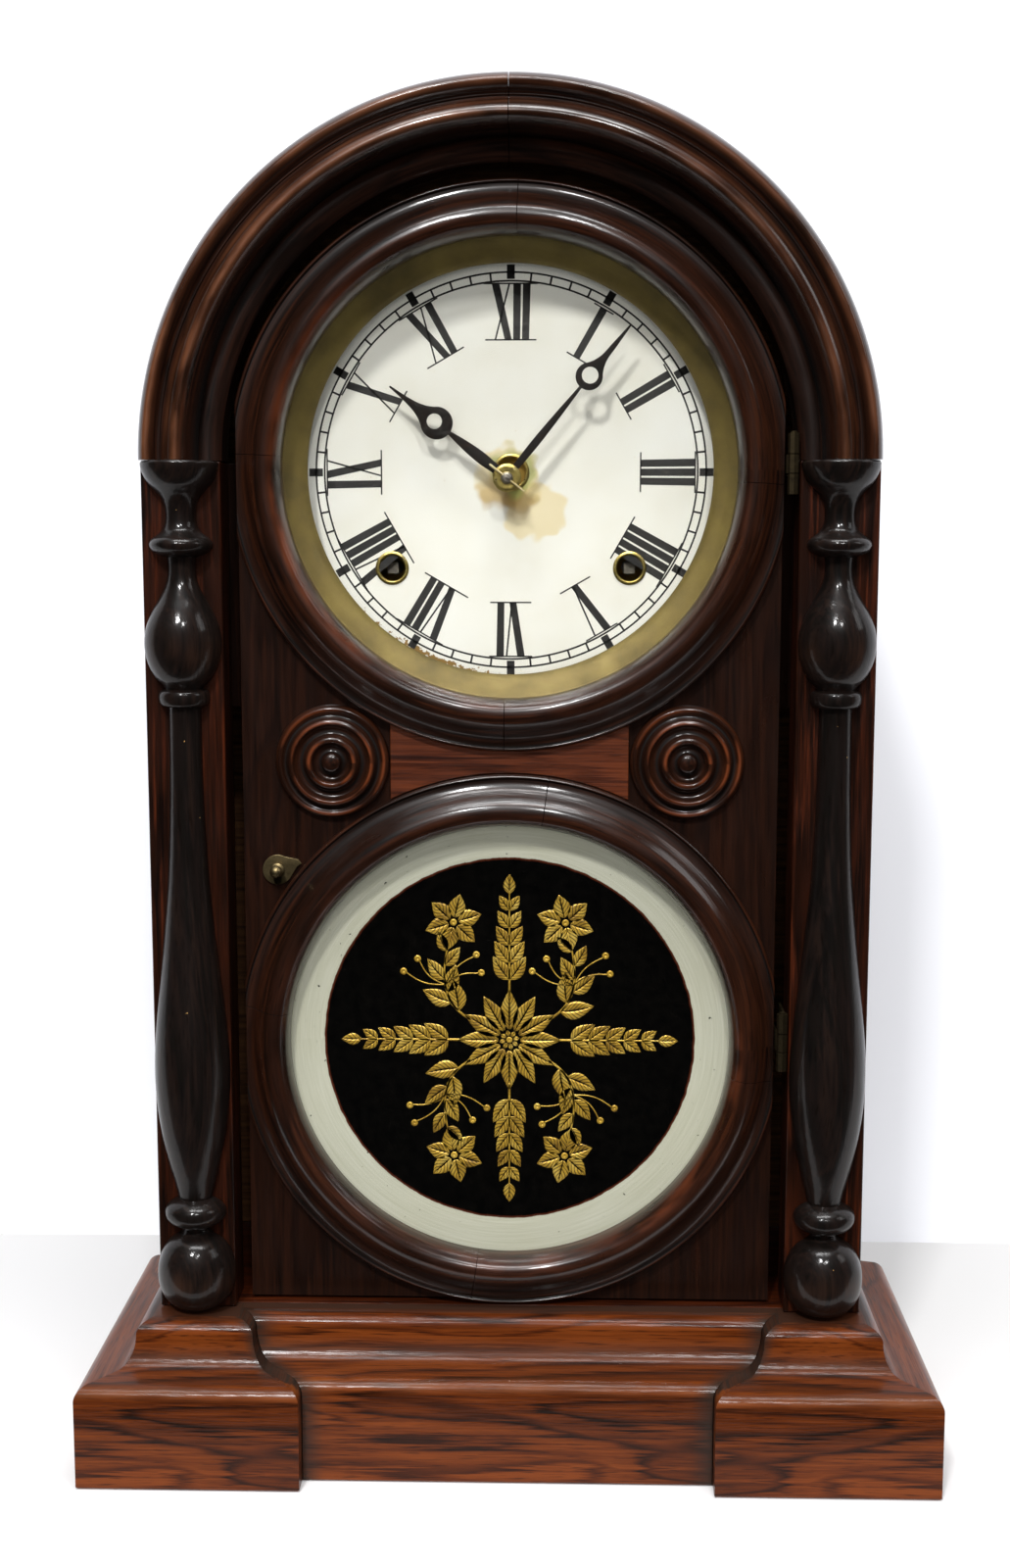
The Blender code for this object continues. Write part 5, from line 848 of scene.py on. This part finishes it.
def leafPart(root, heading, length, halfWidth, bend=0.0, columns=4, rows=14):
    # two halves beside a midrib gap: half width is a sine hump along the leaf that leans to its root,
    # and the middle line bends sideways with the square of the way along
    t = np.linspace(0.02, 1, rows)[:, None]
    hump = np.sin(np.pi * t ** 0.8) * halfWidth
    parts = []
    for sign in (-1, 1):
        s = np.linspace(0.09, 1, columns)[None]
        across = sign * s * hump + bend * length * t ** 2
        ahead = np.broadcast_to(t * length, across.shape)
        x = root[0] + ahead * math.cos(heading) - across * math.sin(heading)
        z = root[1] + ahead * math.sin(heading) + across * math.cos(heading)
        points = np.stack([x, np.full(x.shape, leafY), z], -1)
        parts.append(gridPart(points, along=t[:, 0] * length, across=sign * s[0] * halfWidth))
    return parts


def stemPart(line, half):
    # a ribbon: each point of the line moved to both sides along its normal by the half width
    way = np.gradient(line, axis=0)
    side = np.stack([-way[:, 1], way[:, 0]], -1) / np.linalg.norm(way, axis=1)[:, None] * half[:, None]
    flat = np.stack([line - side, line + side], 1)
    points = np.stack([flat[..., 0], np.full(flat.shape[:2], leafY), flat[..., 1]], -1)
    return [gridPart(points, along=np.zeros(len(line)) + 0.0004, across=np.zeros(2))]


def dotPart(place, radius):
    # a flat dot: three circles about one centre
    a = np.linspace(0, 2 * np.pi, 20, endpoint=False)[:, None]
    r = np.array([0.02, 0.6, 1.0]) * radius
    points = np.stack([place[0] + np.cos(a) * r, np.full((20, 3), leafY), place[1] + np.sin(a) * r], -1)
    return [gridPart(points, True, along=np.zeros(21) + 0.0004, across=np.zeros(3))]


def flowerParts(place, count, inner, length, halfWidth, twist):
    # leaves set evenly round a centre, each pointing away from it
    parts = []
    for k in range(count):
        a = 2 * math.pi * k / count + twist
        parts += leafPart(place + inner * np.array([math.cos(a), math.sin(a)]), a, length, halfWidth)
    return parts


parts = flowerParts(middle, *goldLook["daisy"], 0.0)
parts += flowerParts(middle, *goldLook["heart"], 0.2) + dotPart(middle, goldLook["eye"])
t = np.linspace(0, 1, 40)
for corner in range(4):
    # corner sprig: a stem that sweeps outwards while it turns, leaves on both sides, a blossom at its end;
    # four tendrils bow sideways by a sine hump and end in buds
    sign = 1 if corner % 2 else -1
    start, end = goldLook["sprig"]
    radius = start + (end - start) * t
    a = math.radians(45 + 90 * corner) + sign * (0.34 * np.cos(2.4 * t) - 0.05)
    line = middle + radius[:, None] * np.stack([np.cos(a), np.sin(a)], -1)
    parts += stemPart(line, goldLook["stem"] * (1.3 - 0.6 * t))
    heading = np.arctan2(*np.gradient(line, axis=0).T[::-1])
    for k, place in enumerate((7, 12, 17, 22, 27, 32)):
        turn = 0.75 if k % 2 else -0.75
        length, half = np.array(goldLook["leaf"]) * (1.1 - 0.08 * k)
        parts += leafPart(line[place], heading[place] + turn, length, half, -0.15 * np.sign(turn))
    tip = line[-1] + 0.0035 * np.array([math.cos(heading[-1]), math.sin(heading[-1])])
    parts += flowerParts(tip, *goldLook["blossom"], heading[-1]) + dotPart(tip, goldLook["bud"])
    for k, spread in enumerate((-1.25, -0.8, 0.8, 1.25)):
        curl = np.array([math.cos(heading[24] + spread), math.sin(heading[24] + spread)])
        reach = goldLook["tendril"] + 0.002 * (k % 2)
        bow = 0.0016 * np.sin(math.pi * t)[:, None] * np.array([-curl[1], curl[0]])
        parts += stemPart(line[20] + curl * reach * t[:, None] + bow, goldLook["stem"] * 0.6 * np.ones(40))
        parts += dotPart(line[20] + curl * (reach + 0.0008), goldLook["bud"])
for quarter in range(4):
    # straight sprig between the corners: pairs of leaves that shorten to a pointed bud
    a = math.radians(90 * quarter)
    way = np.array([math.cos(a), math.sin(a)])
    start, end = goldLook["upright"]
    parts += stemPart(middle + way * (start + (end - start) * t[:, None]), goldLook["stem"] * (1.2 - 0.6 * t))
    for k in range(5):
        place = middle + way * (start + 0.006 + 0.0062 * k)
        for turn in (-0.7, 0.7):
            length, half = np.array(goldLook["barb"]) - np.array([0.001, 0.0002]) * k
            parts += leafPart(place, a + turn, length, half, -0.1 * np.sign(turn))
    parts += leafPart(middle + way * (end - 0.001), a, *goldLook["point"])
shade = np.concatenate([np.full(len(part[0]), 1.0 if part[2][:, 1].any() else 0.0) for part in parts])
design = addPiece("tablet_gilding", parts, goldLeaf, "door", ["tablet_glass"], {"crest": shade},
                  weld=1e-8)
thick = design.modifiers.new("leaf", "SOLIDIFY")
thick.thickness = paneLook["leaf"] / 2
thick.offset = 0.0
print("stage: tablet made")


# Dial print and eyelets

dialLook = {"track": (0.0645, 0.0674), "line": 0.00062, "tick": 0.00068, "hourTick": (0.0651, 0.0699, 0.0027),
            "numeral": (0.0448, 0.0636), "thick": 0.00255, "thin": 0.0006, "serif": 0.0005, "over": 0.0026,
            "ink": 0.00004, "fan": (0.95, 1.03), "tuck": 0.0008}
numerals = ["XII", "I", "II", "III", "IIII", "V", "VI", "VII", "VIII", "IX", "X", "XI"]
# strokes of each sign: places at its foot and head, and whether the stroke is thick; then its advance
signs = {"I": ([(0.0012, 0.0012, True)], 0.0032),
         "V": ([(0.0040, 0.0013, True), (0.0044, 0.0062, False)], 0.0072),
         "X": ([(0.0056, 0.0014, True), (0.0009, 0.0060, False)], 0.0074)}


def strokePart(corners, angle):
    # a flat bar of ink turned to its hour, proud of the paint by the ink's thickness
    corners = np.asarray(corners, float)
    c, s = math.cos(angle), math.sin(angle)
    x = corners[:, 0] * c + corners[:, 1] * s
    z = dialZ - corners[:, 0] * s + corners[:, 1] * c
    front = np.stack([x, np.full(4, dialFront - dialLook["ink"]), z], -1)
    back = front + (0, dialLook["ink"], 0)
    return gridPart(np.stack([front, back]), False, True)[:2] + (np.zeros((16, 2)),), capPart(front), capPart(back)


def hoopPart(inner, outer):
    # a flat ring of ink: its small rectangle turned round the dial's centre
    front, back = -(dialFront - dialLook["ink"]), -dialFront
    lines = [(inner, front), (outer, front), (outer, back), (inner, back)]
    return turnedPart(lines, (0, 0, dialZ), steps=240, closed=True)


parts = []
foot, head = dialLook["numeral"]
lowFan, highFan = dialLook["fan"]
for hour, text in enumerate(numerals):
    angle = math.radians(30 * hour)
    total = sum(signs[sign][1] for sign in text) - (dialLook["tuck"] if text[-1] == "I" else 0.0)
    left = -total / 2
    for sign in text:
        strokes, advance = signs[sign]
        for low, high, bold in strokes:
            w = (dialLook["thick"] if bold else dialLook["thin"]) / 2
            corners = [((left + low - w) * lowFan, foot), ((left + low + w) * lowFan, foot),
                       ((left + high + w) * highFan, head), ((left + high - w) * highFan, head)]
            parts += strokePart(corners, angle)
        left += advance
    for level, fan in ((foot, lowFan), (head, highFan)):
        wide = total / 2 * fan + dialLook["over"]
        w = dialLook["serif"] / 2
        parts += strokePart([(-wide, level - w), (wide, level - w), (wide, level + w), (-wide, level + w)], angle)
    inner, outer, wide = dialLook["hourTick"]
    parts += strokePart([(-wide / 2, inner), (wide / 2, inner), (wide / 2, outer), (-wide / 2, outer)], angle)
for minute in range(60):
    if minute % 5:
        w = dialLook["tick"] / 2
        inner, outer = dialLook["track"]
        parts += strokePart([(-w, inner), (w, inner), (w, outer), (-w, outer)], math.radians(6 * minute))
for radius in dialLook["track"]:
    parts.append(hoopPart(radius - dialLook["line"] / 2, radius + dialLook["line"] / 2))
addPiece("dial_print", parts, dialInk, "case", weld=1e-8)

eyeletLook = {"flange": 0.0013, "wall": 0.0004, "seat": 0.0003}
for node in ("centre_grommet", "winding_grommet_left", "winding_grommet_right"):
    low, high = spanOf(node)
    flange, thick = (high[0] - low[0]) / 2, plateLow[1] - low[1]
    hole, seat = flange - eyeletLook["flange"], eyeletLook["seat"]
    tube, back = hole + eyeletLook["wall"], -(high[1] - plateLow[1])
    # a tube with its front end rolled over to a rounded flange
    line = curveThrough([(hole, thick * 0.5), (hole + 0.0002, thick * 0.9), (hole + 0.0006, thick),
                         (flange - 0.0003, thick * 0.8), (flange, seat), (flange, seat), (tube, seat), (tube, seat),
                         (tube, back), (tube, back), (hole, back), (hole, back), (hole, thick * 0.5)], 4)[:-1]
    place = ((low[0] + high[0]) / 2, plateLow[1], (low[2] + high[2]) / 2)
    addPiece(f"{node}_eyelet", [turnedPart(line, place, steps=64, closed=True)], brightBrass, "case",
             [node])
print("stage: dial made")


# Hands

washerLow, washerHigh = spanOf("hand_washer")
hub = ((washerLow[0] + washerHigh[0]) / 2, (washerLow[2] + washerHigh[2]) / 2)
handLook = {
    "minute": {"node": "minute_hand", "angle": 39.4, "length": 0.0658, "moon": 0.0046, "place": 0.0436, "hole": 0.0028,
               "lift": 0.0005, "hub": 0.0026, "bore": 0.0013, "root": 0.0011, "belly": 0.00135, "neck": 0.0005},
    "hour": {"node": "hour_hand", "angle": 307.6, "length": 0.0506, "moon": 0.0055, "place": 0.0304, "hole": 0.0026,
             "lift": 0.0010, "hub": 0.0041, "bore": 0.0026, "root": 0.0015, "belly": 0.0020, "neck": 0.0007}}
for body, look in handLook.items():
    # the right half of the outline is a swelling stem, a ball and a pointed tip; it is mirrored and turned to its time
    low, high = spanOf(look["node"])
    moon, place, length, hubRadius = look["moon"], look["place"], look["length"], look["hub"]
    stem = curveThrough([(look["root"], hubRadius * 0.9), (look["belly"], place * 0.36),
                         (look["belly"] * 0.82, place * 0.58), (look["neck"], place - moon * 0.985)], 8)
    ball = circleLine(moon, 20, (0, place), -84, 46, True)
    tip = curveThrough([tuple(ball[-1]), (moon * 0.47, place + moon * 1.12), (moon * 0.3, place + moon * 1.6),
                        (moon * 0.19, place + 0.6 * (length - place)), (0.0003, length)], 8)
    right = np.vstack([stem, ball, tip[1:]])
    start = math.degrees(math.atan2(stem[0, 1], stem[0, 0]))
    collar = circleLine(hubRadius, 40, (0, 0), 180 - start, 360 + start, True)
    rim = np.vstack([collar, right, right[::-1] * (-1, 1)])
    a = math.radians(look["angle"])
    turn = np.array([[math.cos(a), -math.sin(a)], [math.sin(a), math.cos(a)]])
    loops = [rim, circleLine(look["bore"], 28), circleLine(look["hole"], 36, (0, place + look["lift"]))]
    part = flatPart([loop @ turn for loop in loops], low[1], high[1], hub, 0.00008)
    addPiece(f"{body}_pointer", [part], brownedSteel, body, [look["node"]])

hubLook = {"bore": 0.00135, "nose": 0.0021, "noseBack": 0.0002}
washerRadius, bore = (washerHigh[0] - washerLow[0]) / 2, hubLook["bore"]
front, back = -washerLow[1], -washerHigh[1]
# a disc whose front slopes down to a rounded edge
line = curveThrough([(bore, back), (bore, back), (washerRadius, back), (washerRadius, back),
                     (washerRadius, front - 0.0004), (washerRadius * 0.92, front - 0.0001), (washerRadius * 0.5, front),
                     (bore, front), (bore, front), (bore, back)], 4)[:-1]
addPiece("hand_collet", [turnedPart(line, (hub[0], 0, hub[1]), steps=64, closed=True)], brightBrass, "minute",
         ["hand_washer"])
arborLow = spanOf("centre_arbor")[0]
# rounded steel end of the arbor in the washer: a quarter circle of its radius, flattened to the arbor's reach
a = np.radians(np.linspace(0, 90, 12))
reach = washerLow[1] - arborLow[1]
line = np.c_[hubLook["nose"] * np.sin(a), front + reach * np.cos(a)]
inner = [(bore, front), (bore, front + hubLook["noseBack"]), (0.0, front + hubLook["noseBack"])]
addPiece("arbor_nose", [turnedPart(np.vstack([line, inner]), (hub[0], 0, hub[1]), steps=40)], greySteel, "minute")
pinLow, pinHigh = spanOf("hand_pin")
pinLook = {"half": 0.0075, "thick": 0.0004, "thin": 0.00032}
half, thick, thin = pinLook["half"], pinLook["thick"], pinLook["thin"]
a = math.radians(handLook["hour"]["angle"])
# a tapered round wire with blunted ends, turned in the plane of the dial to lie along the hour hand
pinLine = [(0, half), (0.85 * thick, half - 0.0001), (thick, half - 0.0007), (thin, 0.0001 - half), (0, -half)]
points, faces, grain = turnedPart(pinLine, (0, 0, 0), True, 20)
points = np.c_[points[:, 0] * math.cos(a) + points[:, 2] * math.sin(a), points[:, 1],
               points[:, 2] * math.cos(a) - points[:, 0] * math.sin(a)]
points = points + (hub[0], (pinLow[1] + pinHigh[1]) / 2, hub[1])
addPiece("taper_pin", [(points, faces, grain)], pinBrass, "minute", ["hand_pin"])
print("stage: hands made")


# Latch, pendulum and bell

latchLow, latchHigh = spanOf("latch_plate")
knobLow, knobHigh = spanOf("latch_knob")
latchX = (knobLow[0] + knobHigh[0]) / 2
latchZ = (knobLow[2] + knobHigh[2]) / 2
latchLook = {"radius": 0.0052, "ear": 0.0086, "earAngle": 15.0, "hole": 0.0017, "arris": 0.00015, "knob": 0.0022,
             "spindle": 0.0014, "lift": 0.0003}
a = math.radians(latchLook["earAngle"])
ear = np.array([[latchLook["ear"] * math.cos(a), latchLook["ear"] * math.sin(a)]])
rim = np.vstack([circleLine(latchLook["radius"], 48, (0, 0), 62, 328, True),
                 ear + [(-0.0016, -0.0012)], ear, ear + [(-0.0012, 0.0014)]])
loops = [rim, circleLine(latchLook["hole"], 24)]
addPiece("latch_escutcheon", [flatPart(loops, latchLow[1], latchHigh[1], (latchX, latchZ), latchLook["arris"])],
         agedBrass, "door", ["latch_plate"])
seat = latchLook["lift"] - latchLow[1]
k, s = latchLook["knob"], latchLook["spindle"]
# a turned button: domed head, waist and flange in shares of the knob's radius, then the plain spindle
line = curveThrough([(0, seat + 2.7 * k), (0.45 * k, seat + 2.58 * k), (0.85 * k, seat + 2.2 * k), (k, seat + 1.7 * k),
                     (0.86 * k, seat + 1.2 * k), (0.62 * k, seat + 0.8 * k), (0.66 * k, seat + 0.5 * k),
                     (1.08 * k, seat + 0.28 * k), (1.1 * k, seat), (1.1 * k, seat), (s, seat), (s, seat),
                     (s, -knobHigh[1]), (s, -knobHigh[1]), (0, -knobHigh[1])], 5)
line[:, 0] = np.maximum(line[:, 0], 0)
addPiece("latch_button", [turnedPart(line, (latchX, 0, latchZ), steps=48)], agedBrass, "latch",
         ["latch_knob"])

bobLow, bobHigh = spanOf("pendulum_bob")
bobLook = {"steps": 96, "crown": 0.8}
radius, halfThick = (bobHigh[0] - bobLow[0]) / 2, (bobHigh[1] - bobLow[1]) / 2
a = np.linspace(0, math.pi, 33)
# a lens: the radius is a power of the sine and the height is the cosine of the way round the section
line = np.c_[radius * np.sin(a) ** bobLook["crown"], halfThick * np.cos(a)]
line[[0, -1], 0] = 0
place = ((bobLow[0] + bobHigh[0]) / 2, (bobLow[1] + bobHigh[1]) / 2, (bobLow[2] + bobHigh[2]) / 2)
addPiece("bob_shell", [turnedPart(line, place, steps=bobLook["steps"])], brightBrass, "pendulum",
         ["pendulum_bob"])

bellLow, bellHigh = spanOf("bell")
bellLook = {"wall": 0.0014, "hole": 0.0026}
# a cup: the outer curve from its hole to its lip, and the same one wall further in
radius, depth, wall = (bellHigh[0] - bellLow[0]) / 2, bellHigh[1] - bellLow[1], bellLook["wall"]
outer = curveThrough([(bellLook["hole"], 0), (0.4 * radius, -0.03 * depth), (0.74 * radius, -0.2 * depth),
                      (0.9 * radius, -0.5 * depth), (0.97 * radius, -0.8 * depth), (radius, -depth)], 6)
inner = np.c_[np.maximum(outer[:, 0] - wall, bellLook["hole"]), np.maximum(outer[:, 1] - wall, -depth)][::-1]
place = ((bellLow[0] + bellHigh[0]) / 2, bellLow[1], (bellLow[2] + bellHigh[2]) / 2)
addPiece("bell_cup", [turnedPart(np.vstack([outer, inner]), place, steps=96, closed=True)], brightBrass, "case",
         ["bell"], sharp=40)
print("stage: latch, pendulum and bell made")


# CAD pieces that keep their shape

cadFinishes = {
    boardWood: ["side_left", "side_right"], shadedPilasterWood: ["pilaster_left", "pilaster_right"],
    bridgeWood: ["bridge_panel"], doorWood: ["door_panel", "dial_rail_left", "dial_rail_right"],
    shadedLandWood: ["base_board"],
    dialPaint: ["dial_plate"],
    brownBrass: ["hinge_lower_case_leaf", "hinge_lower_door_leaf", "hinge_upper_case_leaf", "hinge_upper_door_leaf"],
    movementBrass: ["back_plate", "front_plate", "hour_wheel", "minute_wheel", "second_wheel", "time_great_wheel",
                    "strike_great_wheel", "escape_wheel", "rating_nut"],
    greySteel: ["centre_arbor", "time_mainspring", "strike_mainspring", "time_winding_arbor", "strike_winding_arbor",
                "verge", "pendulum_rod", "hammer", "bell_post", "latch_tongue"]}
edgeLook = {"side": 0.0006, "pilaster": 0.0007, "bridge": 0.0003, "base_board": 0.0006, "dial_rail": 0.0006}
for finish, names in cadFinishes.items():
    for name in names:
        node = cadNodes[name]
        node.data.materials.clear()
        node.data.materials.append(finish)
        width = next((value for key, value in edgeLook.items() if name.startswith(key)), 0.0)
        if width:
            weld = node.modifiers.new("weld", "WELD")
            weld.merge_threshold = 0.00001
            bevel = node.modifiers.new("arris", "BEVEL")
            bevel.width = width
            bevel.segments = 3
            bevel.limit_method = "ANGLE"
            bevel.harden_normals = False
print("stage: frame pieces finished")


# Stage, light and camera

stageLook = {"floor": 1.6, "front": 0.115, "wall": 0.175, "wallTop": 2.5, "under": -0.0003, "floorTone": "#EAE8E6",
             "wallTone": "#ECEEF5", "curtain": 2.6, "curtainFrom": -1.6, "curtainTo": 4.2}


def stageFinish(name, tone):
    # smooth matt paper that is seen from its lit side only
    made, tree, shader = newFinish(name)
    place = addNode(tree, "TexCoord").outputs["Object"]
    cloud = addNode(tree, "TexNoise", {"Vector": place, "Scale": 2.0, "Detail": 2.0}).outputs[0]
    colour = addNode(tree, "Mix", {0: cloud, 6: hexColour(tone), 7: hexColour("#F6F6F8")}, data_type="RGBA").outputs[2]
    tree.links.new(colour, shader.inputs["Base Color"])
    shader.inputs["Roughness"].default_value = 0.8
    shader.inputs["Specular IOR Level"].default_value = 0.1
    behind = addNode(tree, "NewGeometry").outputs["Backfacing"]
    clear = addNode(tree, "BsdfTransparent").outputs[0]
    both = addNode(tree, "MixShader", {0: behind, 1: shader.outputs[0], 2: clear}).outputs[0]
    tree.links.new(both, tree.nodes["Material Output"].inputs["Surface"])
    return made


size, low = stageLook["floor"], stageLook["under"]
sheets = {"floor": [(-stageLook["front"], low), (size, low)],
          "wall": [(stageLook["wall"], low), (stageLook["wall"], stageLook["wallTop"])]}
for kind, ((firstY, firstZ), (lastY, lastZ)) in sheets.items():
    name, tone = f"studio_{kind}", stageLook[f"{kind}Tone"]
    corners = [(-size, firstY, firstZ), (size, firstY, firstZ), (size, lastY, lastZ), (-size, lastY, lastZ)]
    mesh = bpy.data.meshes.new(name)
    mesh.from_pydata(corners, [], [(0, 1, 2, 3)])
    mesh.materials.append(stageFinish(name, tone))
    sheet = bpy.data.objects.new(name, mesh)
    sheet.visible_shadow = sheet.visible_diffuse = kind == "floor"  # so the floor is as light behind the wall
    bpy.context.scene.collection.objects.link(sheet)

# a dark cloth round the front and below, which only reflections meet, as the far end of an unlit room
turn = np.linspace(math.pi, 2 * math.pi, 49)
rim = np.stack([np.cos(turn), np.sin(turn)], -1) * stageLook["curtain"]
low, high = stageLook["curtainFrom"], stageLook["curtainTo"]
rows = ((0.0, low), (1.0, low), (1.0, high))
cloth = np.stack([np.c_[rim * wide, np.full(len(turn), level)] for wide, level in rows])
points, quads, _ = gridPart(cloth)
mesh = bpy.data.meshes.new("studio_curtain")
mesh.from_pydata(points, [], quads.tolist())
made, tree, shader = newFinish("black_cloth")
place = addNode(tree, "TexCoord").outputs["Object"]
nap = addNode(tree, "TexNoise", {"Vector": place, "Scale": 3.0, "Detail": 3.0}).outputs[0]
nap = addNode(tree, "ValToRGB", {0: nap}, stops=[(0.3, "#050505"), (0.7, "#0C0C0C")]).outputs[0]
tree.links.new(nap, shader.inputs["Base Color"])
shader.inputs["Roughness"].default_value = 0.95
shader.inputs["Specular IOR Level"].default_value = 0.0
mesh.materials.append(made)
curtain = bpy.data.objects.new("studio_curtain", mesh)
curtain.visible_camera = curtain.visible_diffuse = curtain.visible_shadow = False
bpy.context.scene.collection.objects.link(curtain)

lampLook = {
    "key": {"from": (-0.42, -1.75, 1.85), "size": (0.22, 0.22), "power": 33.0},
    "second": {"from": (0.30, -1.95, 1.75), "size": (0.2, 0.2), "power": 15.0},
    "ceiling": {"from": (0.0, -0.75, 2.2), "size": (1.4, 0.35), "power": 29.0},
    "right": {"from": (1.6, -0.5, 1.3), "size": (0.5, 0.8), "power": 4.0},
    "front": {"from": (0.0, -1.7, 0.4), "size": (1.0, 0.6), "power": 7.5}}
lampAim = np.array([0.0, -0.02, 0.27])
for name, look in lampLook.items():
    lamp = bpy.data.lights.new(name, "AREA")
    lamp.shape = "RECTANGLE"
    lamp.size, lamp.size_y = look["size"]
    lamp.energy = look["power"]
    holder = bpy.data.objects.new(name, lamp)
    holder.location = look["from"]
    holder.visible_glossy = holder.visible_transmission = name != "front"  # a weak fill, no mark in the glass
    aim = lampAim - np.array(look["from"])
    flat = math.hypot(aim[0], aim[1])
    holder.rotation_euler = (math.atan2(flat, -aim[2]), 0.0, math.atan2(-aim[0], aim[1]))
    bpy.context.scene.collection.objects.link(holder)

world = bpy.data.worlds.new("studio")
bpy.context.scene.world = world
world.use_nodes = True
world.node_tree.nodes.clear()
air = world.node_tree
fill = addNode(air, "Background", {"Color": hexColour("#F4F6FA"), "Strength": 0.27}).outputs[0]
seen = addNode(air, "Background", {"Color": hexColour("#FFFFFF"), "Strength": 1.0}).outputs[0]
rays = addNode(air, "LightPath").outputs
shown = addNode(air, "Math", {0: rays["Is Camera Ray"], 1: rays["Is Glossy Ray"]}, operation="MAXIMUM").outputs[0]
shown = addNode(air, "Math", {0: shown, 1: rays["Is Transmission Ray"]}, operation="MAXIMUM").outputs[0]
addNode(air, "OutputWorld", {"Surface": addNode(air, "MixShader", {0: shown, 1: fill, 2: seen}).outputs[0]})

cameraLook = {"place": (0.015695, -0.665007, 0.325048), "lens": 43.57, "pitch": 7.701, "yaw": -1.526}
camera = bpy.data.cameras.new("photo_camera")
camera.sensor_fit = "AUTO"
camera.sensor_width = 36.0
camera.lens = cameraLook["lens"]
camera.clip_start = 0.01
camera.dof.use_dof = False
eye = bpy.data.objects.new("photo_camera", camera)
eye.location = cameraLook["place"]
eye.rotation_euler = (math.radians(90 - cameraLook["pitch"]), 0.0, math.radians(-cameraLook["yaw"]))
bpy.context.scene.collection.objects.link(eye)
bpy.context.scene.camera = eye
bpy.context.scene.view_settings.view_transform = "Standard"

print("stage: light and camera set")
